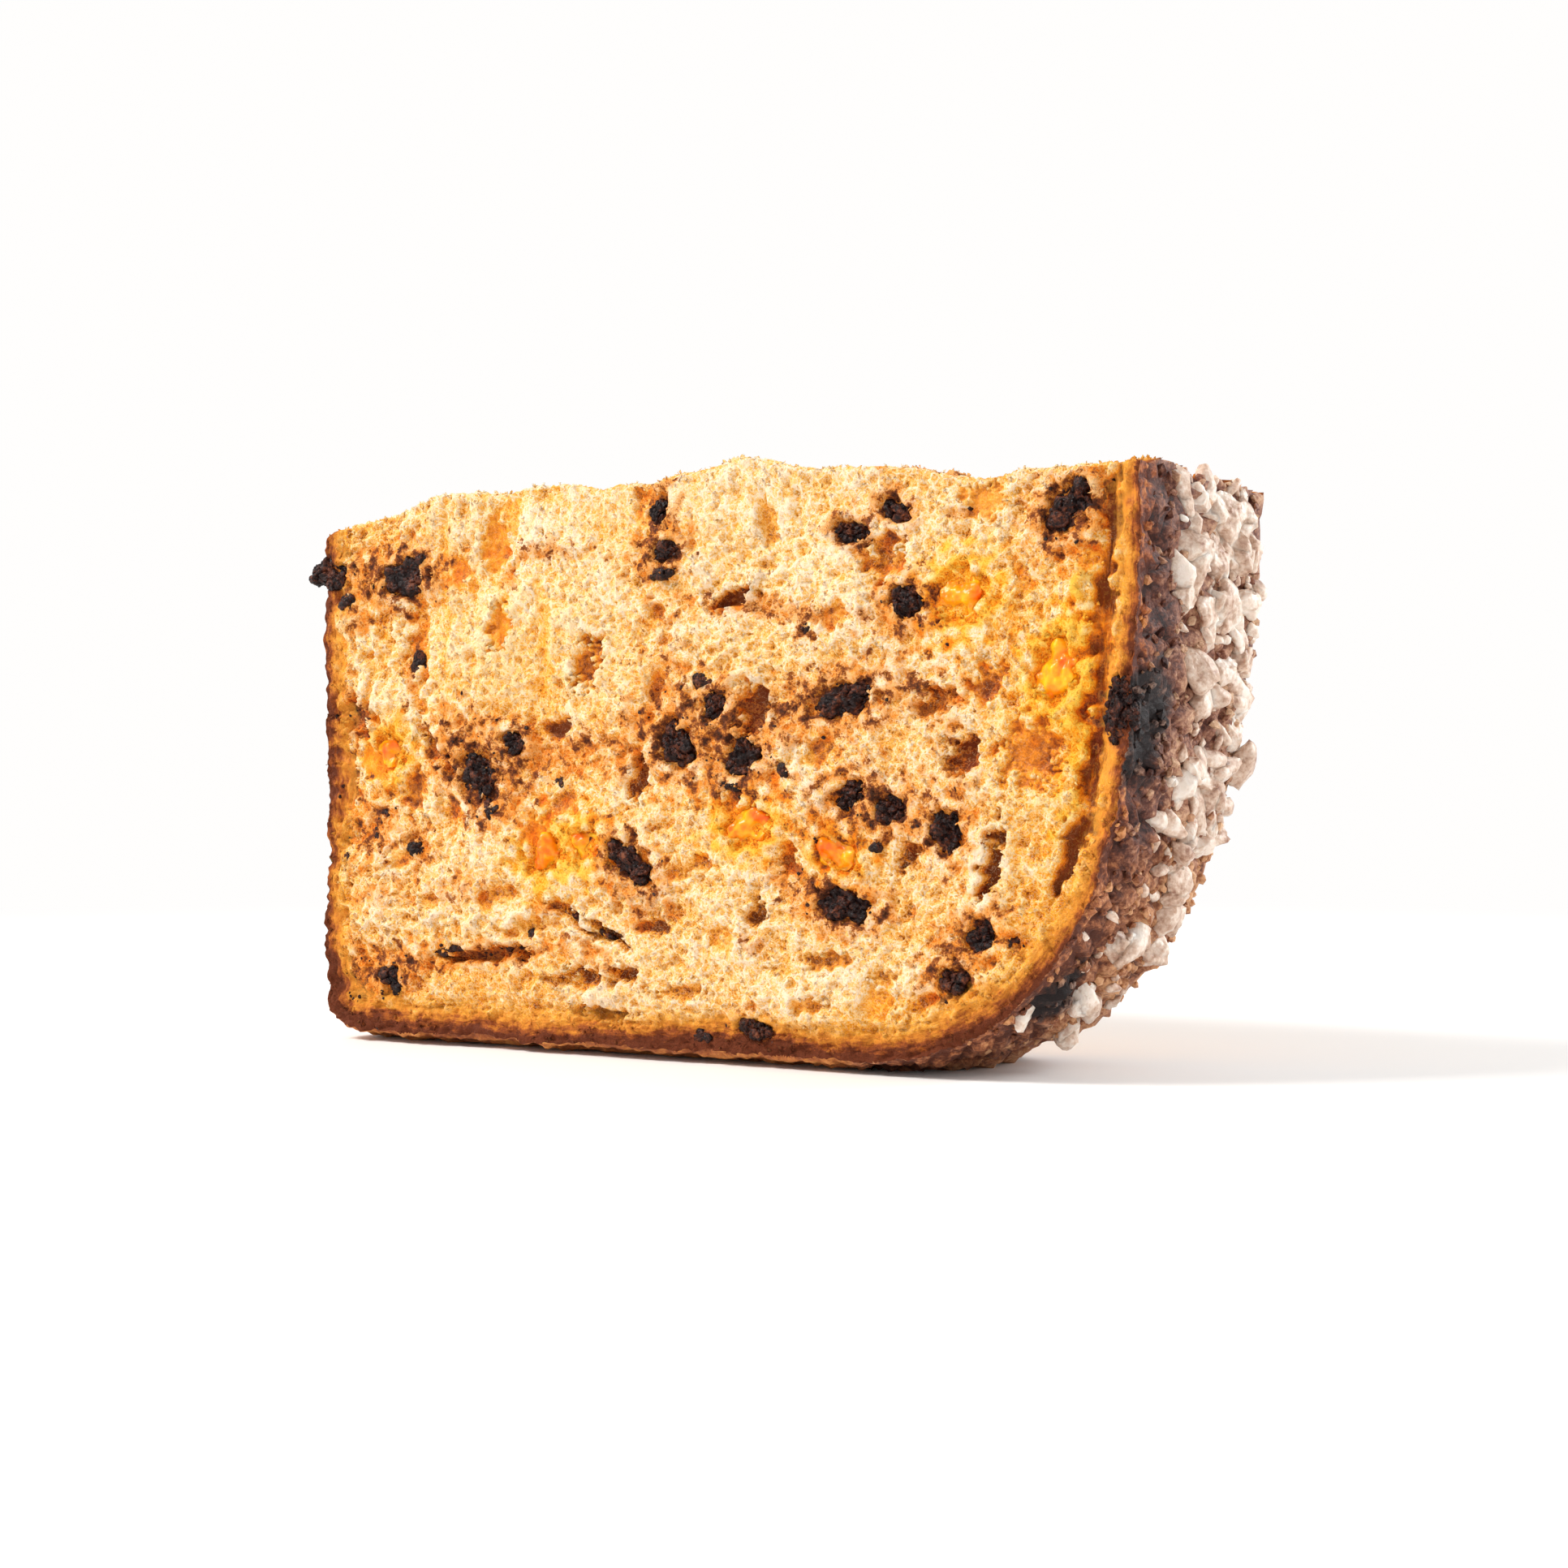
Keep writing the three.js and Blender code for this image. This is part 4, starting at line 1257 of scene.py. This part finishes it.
def normals_of(item):
    flat = np.empty(len(item.data.vertices) * 3, np.float32)
    item.data.vertex_normals.foreach_get("vector", flat)
    return flat.reshape(-1, 3).astype(float)


def roughen(piece, height_of):
    """Moves a piece's points along their normals by a height in millimetres."""
    places = points_of(piece)
    places += normals_of(piece) * (height_of(places / MM) * MM)[:, None]
    places[:, 2] = np.maximum(places[:, 2], 0.0)
    move_points(piece, places)


# %% Chocolate finish
CHOCOLATE = [
    (0.3, (0.005, 0.0015, 0.002)), (0.5, (0.016, 0.005, 0.004)), (0.64, (0.08, 0.020, 0.010)),
    (0.8, (0.22, 0.065, 0.025)),
]


def chocolate_finish():
    """Near black, with brown dust and a dull shine."""
    material, shader = new_material("dark_chocolate")
    n = Nodes(material)
    grain = n.noise(0.5, 5, 0.65)
    dust = n.plus(n.noise(2.0, 4, 0.6), n.math("SUBTRACT", grain, 0.5), 0.7)
    n.feed(n.ramp(dust, CHOCOLATE), shader.inputs["Base Color"])
    n.feed(n.span(grain, 0.35, 0.7, 0.25, 0.5), shader.inputs["Roughness"])
    shader.inputs["Specular IOR Level"].default_value = 0.22
    normal = n.bump(n.noise(0.5, 4, 0.6), 0.5, 0.6)
    n.feed(normal, shader.inputs["Normal"])
    return material


chocolate = chocolate_finish()


# %% Make the chunks
def crumbly(places, seed, strength=1.0):
    """The height of broken chocolate at each place: blocks of a millimetre or two with creases between."""
    low, high = places.min(0), places.max(0)
    tall, inside = in_blocks(places, scatter_blocks(low, high, 1.7, seed))
    small_tall, small_inside = in_blocks(places, scatter_blocks(low, high, 0.8, seed + 500))
    height = 0.3 * waves(places, 3.6, seed) + 0.7 * tall - 0.45 + 0.4 * smooth_step(inside, 0.0, 0.5)
    height += 0.3 * small_tall + 0.2 * smooth_step(small_inside, 0.0, 0.25) - 0.35
    return strength * height


def press_flush(piece, proud=0.45):
    """Presses the part that stands out of the near or far cut back, as the knife did."""
    places = (points_of(piece) - ORIGIN) / MM
    over_near = np.minimum(places[:, 1] - 0.3, 0)
    places[:, 1] -= over_near * (1 - proud)
    far_cut = THICK - (TOP - places[:, 2]) * FAR_LEAN
    over_far = np.maximum(places[:, 1] - far_cut + 0.3, 0)
    places[:, 1] -= over_far * (1 - proud)
    move_points(piece, ORIGIN + places * MM)


def make_chunk(node, seed):
    piece = copy_of(node, node.replace("chocolate", "chunk"), 3)
    press_flush(piece)
    roughen(piece, lambda places: crumbly(places, seed))
    piece.data.polygons.foreach_set("use_smooth", np.zeros(len(piece.data.polygons), bool))
    piece.data.materials.append(chocolate)
    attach(piece, "root")
    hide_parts(node)
    return piece


chunks = [make_chunk(node, 100 + i) for i, node in enumerate(lumps_named("chocolate"))]
print(len(chunks), "chunks, the first with", len(chunks[0].data.polygons), "faces")

# %% [markdown]
# ## Small chunks
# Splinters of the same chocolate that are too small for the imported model. Each starts as a ball of
# triangles, is stretched and turned in edit mode, and is roughened like the large ones. It sits in the
# crumb at the height of the relief there.

# %% Small chunks
# Distance from the base, height, length, width and heading on the near cut.
SMALL_CHUNKS = [
    (19.4, 61.1, 5.6, 2.8, 95), (11.5, 35.2, 5.6, 3.0, 80), (18.8, 31.4, 3.0, 2.4, 0),
    (73.0, 4.4, 5.0, 2.2, 0), (102.4, 32.9, 4.2, 2.0, 5), (66.6, 73.8, 4.2, 1.6, 8),
    (79.4, 41.8, 4.4, 1.6, 170), (34.6, 37.6, 4.8, 2.6, -60), (41.6, 18.6, 2.4, 1.4, 0),
    (8.6, 51.4, 5.0, 2.0, -45), (20.4, 78.4, 2.6, 1.8, 30), (25.4, 15.6, 6.6, 1.2, 8),
    (38.4, 16.4, 5.4, 1.2, 4), (92.2, 64.9, 1.6, 2.2, 0), (117.8, 80.6, 2.0, 1.2, 0),
    (5.2, 71.6, 3.0, 2.2, 60), (48.4, 21.8, 3.4, 0.9, -25), (55.4, 18.9, 3.4, 0.9, -25),
    (73.8, 56.4, 3.0, 4.6, 10), (12.4, 12.0, 5.0, 1.8, 30), (88.6, 43.6, 1.6, 2.4, 60),
    (46.8, 42.4, 2.4, 1.6, 0), (4.2, 30.2, 1.6, 2.4, 0), (124.6, 19.6, 2.2, 1.4, 40),
]


def add_small_chunk(number, spot, size, axis, turn):
    """spot is in slice millimetres, and size before it turns round the axis by turn degrees."""
    bpy.ops.object.select_all(action="DESELECT")
    at = ORIGIN + np.array(spot) * MM
    bpy.ops.mesh.primitive_ico_sphere_add(subdivisions=4, radius=0.5 * MM, location=at)
    piece = bpy.context.object
    piece.name = f"small_chunk_{number:02d}"
    bpy.ops.object.mode_set(mode="EDIT")
    bpy.ops.transform.resize(value=size, center_override=tuple(at))
    bpy.ops.transform.rotate(value=math.radians(turn), orient_axis=axis, center_override=tuple(at))
    bpy.ops.object.mode_set(mode="OBJECT")
    bpy.ops.object.transform_apply(location=True, rotation=True, scale=True)
    roughen(piece, lambda places: crumbly(places, 600 + number, 0.7))
    piece.data.polygons.foreach_set("use_smooth", np.zeros(len(piece.data.polygons), bool))
    piece.data.materials.append(chocolate)
    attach(piece, "root")


def height_at(relief, a, b):
    return float(relief.at("height", np.array(a), np.array(b)))


CHUNK_DEEP = 2.2  # millimetres, across the face that a small chunk sits in
small = []
for a, b, long, wide, turn in SMALL_CHUNKS:
    small.append(((a, 0.9 - height_at(near, a, b), b), (long, CHUNK_DEEP, wide), "Y", turn))
for a, b, long, wide, turn in FAR_SMALL:
    far_cut = THICK - (TOP - b) * FAR_LEAN
    small.append(((a, far_cut + height_at(far, a, b) - 0.7, b), (long, CHUNK_DEEP, wide), "Y", turn))
for a, b, long, wide, turn in TOP_SMALL:
    small.append(((a, b, TOP + height_at(top, a, b) - 0.7), (long, wide, CHUNK_DEEP), "Z", turn))
for number, chunk in enumerate(small, 1):
    add_small_chunk(number, *chunk)
print(len(small), "small chunks")

# %% [markdown]
# ## Candied orange peel
# Diced peel soaked in syrup: soft-cornered, glossy and so clear that it glows orange. A welded, subdivided
# copy of each packed lump is swollen a little, and gets gentle dents and a wet, translucent finish.


# %% Peel finish
ORANGE = [(0.36, (1.0, 0.46, 0.008)), (0.5, (0.97, 0.29, 0.003)), (0.64, (0.86, 0.13, 0.003))]


def peel_finish():
    """Clear orange, from amber to a deep red orange, under a thin coat of syrup."""
    material, shader = new_material("candied_peel")
    n = Nodes(material)
    n.feed(n.ramp(n.noise(3.0, 3), ORANGE), shader.inputs["Base Color"])
    shader.inputs["Roughness"].default_value = 0.3
    shader.inputs["Specular IOR Level"].default_value = 0.3
    shader.inputs["Subsurface Weight"].default_value = 0.5
    shader.inputs["Subsurface Radius"].default_value = (1.0, 0.6, 0.3)
    shader.inputs["Subsurface Scale"].default_value = 0.002
    shader.inputs["Coat Weight"].default_value = 0.1
    shader.inputs["Coat Roughness"].default_value = 0.15
    n.feed(n.bump(n.noise(0.9, 3), 0.2, 0.4), shader.inputs["Normal"])
    return material


peel = peel_finish()


# %% Make the peel
def dented(places, seed):
    """The height of soft peel at each place: dents of a few millimetres, with finer ones."""
    return 0.55 * waves(places, 4.2, seed) + 0.14 * waves(places, 1.3, seed + 9) - 0.3


def make_peel(node, seed):
    piece = copy_of(node, node.replace("orange_peel", "peel"), 3)
    places = points_of(piece)
    middle = (places.max(0) + places.min(0)) / 2
    move_points(piece, middle + (places - middle) * (PEEL_SWELL, 1.0, PEEL_SWELL))
    press_flush(piece, 0.2)
    roughen(piece, lambda places: dented(places, seed))
    piece.data.polygons.foreach_set("use_smooth", np.ones(len(piece.data.polygons), bool))
    piece.data.materials.append(peel)
    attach(piece, "root")
    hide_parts(node)
    return piece


peels = [make_peel(node, 200 + i) for i, node in enumerate(lumps_named("orange_peel"))]
print(len(peels), "pieces of peel")

# %% [markdown]
# ## Pearl sugar
# Nibs of pressed sugar that don't melt in the oven. They are off-white, chalky and chipped, and the glaze
# ran round them and coloured some of them brown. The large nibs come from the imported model. Many small ones
# lie between them.


# %% Sugar finish
NIB_WHITE = [
    (0.30, (0.32, 0.16, 0.10)), (0.40, (0.54, 0.36, 0.26)), (0.50, (0.70, 0.54, 0.43)),
    (0.62, (0.86, 0.76, 0.67)),
]


def sugar_finish():
    """Off-white sugar with brown patches of glaze. Light soaks a little way into it."""
    material, shader = new_material("pearl_sugar")
    n = Nodes(material)
    chips = n.noise(0.8, 4, 0.6)
    whiteness = n.plus(n.noise(5.0, 4, 0.6), n.math("SUBTRACT", chips, 0.5), 0.5)
    n.feed(n.ramp(whiteness, NIB_WHITE), shader.inputs["Base Color"])
    shader.inputs["Roughness"].default_value = 0.3
    shader.inputs["Subsurface Weight"].default_value = 0.4
    shader.inputs["Subsurface Radius"].default_value = (1.0, 0.8, 0.65)
    shader.inputs["Subsurface Scale"].default_value = 0.0012
    n.feed(n.bump(chips, 0.35, 0.7), shader.inputs["Normal"])
    return material


sugar = sugar_finish()


# %% Chipped shapes
def chipped(directions, draw, sides=7):
    """How far a chipped nib reaches in each direction: a ball cut by random flats."""
    flats = draw.normal(size=(sides, 3))
    flats /= np.linalg.norm(flats, axis=1)[:, None]
    reach = draw.uniform(0.62, 0.95, sides) / np.maximum(directions @ flats.T, 0.05)
    return np.minimum(reach.min(1), 1.2)


def scatter_grains(name, places, ways, sizes, seed, levels):
    """Many small broken grains as one mesh. ways are the directions that their thin sides face."""
    draw = np.random.default_rng(seed)
    bpy.ops.object.select_all(action="DESELECT")
    bpy.ops.mesh.primitive_ico_sphere_add(subdivisions=levels, radius=1.0)
    model = bpy.context.object
    ball = points_of(model)
    faces = np.array([list(p.vertices) for p in model.data.polygons])
    bpy.data.objects.remove(model)
    all_points, all_faces = [], []
    for i, (place, way, size) in enumerate(zip(places, ways, sizes)):
        side = np.cross(way, draw.normal(size=3))
        side /= np.linalg.norm(side)
        turn = np.stack([side, np.cross(way, side), way])
        shape = ball * chipped(ball, draw)[:, None] * (1 + 0.05 * draw.normal(size=(len(ball), 1))) * size
        all_points.append(place + shape @ turn)
        all_faces.append(faces + i * len(ball))
    mesh = bpy.data.meshes.new(name)
    all_points = np.concatenate(all_points)
    all_points[:, 2] = np.maximum(all_points[:, 2], 0.0)
    mesh.from_pydata(all_points.tolist(), [], np.concatenate(all_faces).tolist())
    piece = bpy.data.objects.new(name, mesh)
    bpy.context.collection.objects.link(piece)
    return piece


# %% Make the large nibs
def make_nib(node, seed):
    piece = copy_of(node, node.replace("sugar_nib", "nib"), 3)
    draw = np.random.default_rng(seed)
    places = points_of(piece)
    middle = (places.max(0) + places.min(0)) / 2
    half = (places.max(0) - places.min(0)) / 2
    directions = (places - middle) / half
    directions /= np.linalg.norm(directions, axis=1)[:, None]
    places = middle + directions * half * (1.14 * chipped(directions, draw, 9))[:, None]
    move_points(piece, places)
    roughen(piece, lambda places: 0.10 * waves(places, 2.2, seed) + 0.05 * waves(places, 0.9, seed + 40))
    piece.data.polygons.foreach_set("use_smooth", np.ones(len(piece.data.polygons), bool))
    piece.data.materials.append(sugar)
    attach(piece, "root")
    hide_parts(node)
    return piece


nibs = [make_nib(node, 300 + i) for i, node in enumerate(lumps_named("sugar_nib"))]
print(len(nibs), "nibs")

# %% [markdown]
# ## Strewn nibs and crumbs of glaze
# Small nibs were strewn over the dome, more thickly in some places than in others. A level ray finds the
# dome's surface, and a table of patches says how likely a nib is to stay there. Each is a ball cut by
# random flats, and all of one size are one piece. Broken crumbs of the glaze are strewn in the same way,
# all over the dome.


# %% Small nibs on the dome
def on_dome(v_place, z_place, nearest):
    """Where a level ray meets the dome, and the normal there, at least nearest millimetres from the base."""
    start = ORIGIN + np.array([170.0, v_place, z_place]) * MM
    hit, where, normal, _ = bread.ray_cast(start, (-1, 0, 0))
    if hit and (where[0] - ORIGIN[0]) / MM >= nearest:
        return np.array(where), np.array(normal)
    return None, None


SUGARED_FROM = 112  # millimetres from the base
# Distance from the near cut, height, two reaches and how thickly it is sugared.
SUGAR_PATCHES = [(31, 74, 13, 13, 1.0), (29, 38, 11, 10, 0.8), (18, 15, 8, 8, 0.8), (38, 56, 9, 9, 0.35)]


def sugar_odds(v_place, z_place):
    """How thickly the dome is sugared at a place."""
    patches = [
        amount * math.exp(-(((v_place - v) / wide) ** 2) - ((z_place - z) / tall) ** 2)
        for v, z, wide, tall, amount in SUGAR_PATCHES
    ]
    return 0.02 + max(patches)


def strew_sugar(name, count, smallest, largest, seed, levels):
    """Nibs between two sizes in millimetres, as one piece. Those near the top edge are small."""
    draw = np.random.default_rng(seed)
    spots, ways, sizes = [], [], []
    while len(spots) < count:
        v_place, z_place = draw.uniform(1, 50), draw.uniform(6, 86)
        if draw.random() > sugar_odds(v_place, z_place) or (v_place < 13 and z_place > 26):
            continue
        where, normal = on_dome(v_place, z_place, SUGARED_FROM)
        if where is None:
            continue
        size = min(draw.uniform(smallest, largest), max(0.5, TOP + 1.5 - z_place)) * MM
        spots.append(where + normal * size * 0.1)
        ways.append(normal)
        sizes.append(np.array([1.0, draw.uniform(0.45, 0.75), draw.uniform(0.4, 0.65)]) * size)
    piece = scatter_grains(name, spots, ways, sizes, seed + 1, levels)
    piece.data.materials.append(sugar)
    piece.data.polygons.foreach_set("use_smooth", np.ones(len(piece.data.polygons), bool))
    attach(piece, "root")
    print(name, count)


strew_sugar("medium_nibs", 85, 2.0, 3.9, 71, 3)
strew_sugar("small_nibs", 160, 0.7, 1.7, 73, 2)


# %% Crumbs of glaze
GLAZED_FROM = 104  # millimetres from the base


def strew_glaze_crumbs(count, seed):
    """Broken crumbs of the glaze all over the dome, with the layers that its finish reads."""
    draw = np.random.default_rng(seed)
    spots, ways, sizes, depths = [], [], [], []
    while len(spots) < count:
        v_place, z_place = draw.uniform(1, 50), draw.uniform(4, 86)
        where, normal = on_dome(v_place, z_place, GLAZED_FROM)
        if where is None:
            continue
        size = draw.uniform(0.3, 1.1) * MM
        spots.append(where + normal * size * 0.2)
        ways.append(normal)
        sizes.append(np.array([1.0, draw.uniform(0.6, 0.9), draw.uniform(0.5, 0.9)]) * size)
        depths.append(v_place)
    piece = scatter_grains("glaze_crumbs", spots, ways, sizes, seed + 1, 1)
    corners = len(piece.data.vertices) // count
    add_layer(piece, "dome", np.ones(count * corners))
    add_layer(piece, "hollow", np.repeat(draw.uniform(-0.9, 0.3, count), corners))
    add_layer(piece, "from_near", np.repeat(depths, corners))
    piece.data.materials.append(crust)
    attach(piece, "root")
    print("glaze crumbs", count)


strew_glaze_crumbs(650, 77)

# %% [markdown]
# ## Torn crumb and loose crumbs
# A knife tears soft crumb, so its crests are ragged: thousands of thin chips stand up from them. Each chip
# is a bent, closed flake of ten faces, set on the bread's surface and coloured by the place that it grows
# from. Dark crumbs of chocolate are strewn where the crumb is stained.

# %% Choose where the chips stand
tri = corners  # the bread's triangles, as three points each
surface = points_of(bread)
a, b, c = (surface[tri[:, i]] for i in range(3))
facing = np.cross(b - a, c - a)
area = np.linalg.norm(facing, axis=1) / 2
facing /= np.maximum(2 * area[:, None], 1e-12)
tri_layers = {name: values[tri].mean(1) for name, values in bread_layers.items()}
crest = smooth_step(tri_layers["hollow"], 0.5, -0.4) * (1 - 0.9 * tri_layers["polish"])
chip_odds = area * crest * ~is_crust * (tri_layers["under"] > 0.3) * (surface[tri].mean(1)[:, 2] > MM)
CHIPS = 14000
draw = np.random.default_rng(81)
grown_from = draw.choice(len(tri), CHIPS, p=chip_odds / chip_odds.sum())
print("chips grow on", len(np.unique(grown_from)), "of", len(tri), "faces")


# %% Grow the chips
RIM = 5  # points round a chip
CHIP_POINTS = RIM + 2  # and one in the middle of each side


def grow_chips(name, seats, ways, lengths, seed):
    """Thin bent flakes, standing on seats, leaning about their ways."""
    draw = np.random.default_rng(seed)
    count = len(seats)
    lean = ways + 0.9 * draw.normal(size=(count, 3))
    lean /= np.linalg.norm(lean, axis=1)[:, None]
    side = np.cross(lean, draw.normal(size=(count, 3)))
    side /= np.linalg.norm(side, axis=1)[:, None]
    thin = np.cross(lean, side)
    angle = 2 * math.pi * (np.arange(RIM) + draw.uniform(-0.25, 0.25, (count, RIM))) / RIM
    reach = draw.uniform(0.6, 1.1, (count, RIM))
    up = (0.5 * reach * np.cos(angle) + 0.25) * lengths[:, None]
    across = 0.3 * reach * np.sin(angle) * lengths[:, None]
    bend = draw.uniform(-0.22, 0.22, (count, RIM)) * lengths[:, None]
    rim = seats[:, None] + up[..., None] * lean[:, None] + across[..., None] * side[:, None]
    rim += bend[..., None] * thin[:, None]
    rim[..., 2] = np.maximum(rim[..., 2], 0.0)
    middle = rim.mean(1)
    half = (0.06 * lengths)[:, None] * thin
    points = np.concatenate([rim, (middle + half)[:, None], (middle - half)[:, None]], 1)
    ring = np.arange(RIM)
    after = (ring + 1) % RIM
    front = np.stack([ring, after, np.full(RIM, RIM)], 1)
    back = np.stack([after, ring, np.full(RIM, RIM + 1)], 1)
    fan = np.concatenate([front, back])
    faces = (fan[None] + CHIP_POINTS * np.arange(count)[:, None, None]).reshape(-1, 3)
    mesh = bpy.data.meshes.new(name)
    mesh.from_pydata(points.reshape(-1, 3).tolist(), [], faces.tolist())
    piece = bpy.data.objects.new(name, mesh)
    bpy.context.collection.objects.link(piece)
    bpy.ops.object.select_all(action="DESELECT")
    bpy.context.view_layer.objects.active = piece
    piece.select_set(True)
    bpy.ops.object.mode_set(mode="EDIT")
    bpy.ops.mesh.select_all(action="SELECT")
    bpy.ops.mesh.normals_make_consistent(inside=False)
    bpy.ops.object.mode_set(mode="OBJECT")
    return piece


seats = surface[tri[grown_from]].mean(1)
lengths = draw.uniform(0.35, 1.2, CHIPS) * MM
chips = grow_chips("crumb_chips", seats, facing[grown_from], lengths, seed=82)
for name, values in tri_layers.items():
    # Painted shade: a chip stands proud, so it gets a little less painted shade than the crumb it grows from.
    less_shade = -0.05 if name == "hollow" else 0.0  # a chip stands proud, so it is a little paler
    add_layer(chips, name, np.repeat(values[grown_from] + less_shade, CHIP_POINTS))
chips.data.materials.append(crumb)
chips.data.polygons.foreach_set("use_smooth", np.ones(len(chips.data.polygons), bool))
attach(chips, "root")
print(CHIPS, "chips,", len(chips.data.polygons), "faces")

# %% Chocolate crumbs
stained = area * smooth_step(tri_layers["stain"], 0.45, 0.95) * ~is_crust
draw = np.random.default_rng(91)
CRUMBS = 360
picked = draw.choice(len(tri), CRUMBS, p=stained / stained.sum())
sizes = []
for _ in picked:
    shape = np.array([1.0, draw.uniform(0.6, 1), draw.uniform(0.4, 0.8)])
    sizes.append(shape * draw.uniform(0.12, 0.45) * MM)
picked_places = surface[tri[picked]].mean(1)
dark_crumbs = scatter_grains("chocolate_crumbs", picked_places, facing[picked], sizes, seed=92, levels=1)
dark_crumbs.data.materials.append(chocolate)
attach(dark_crumbs, "root")
print(CRUMBS, "chocolate crumbs")

# %% [markdown]
# ## Last measurements
# How far the visual model stands out of the imported model's box is printed for each axis. The visual model
# has to stay inside the imported model's box, apart from a little that the torn crumb stands proud.

# %% Sizes and finish
visual_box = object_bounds()
for axis, low, high, cad_low, cad_high in zip("XYZ", *visual_box, *cad_box):
    below, above = (cad_low - low) / MM, (high - cad_high) / MM
    print(axis, "stands proud by", round(below, 1), "and", round(above, 1), "mm")
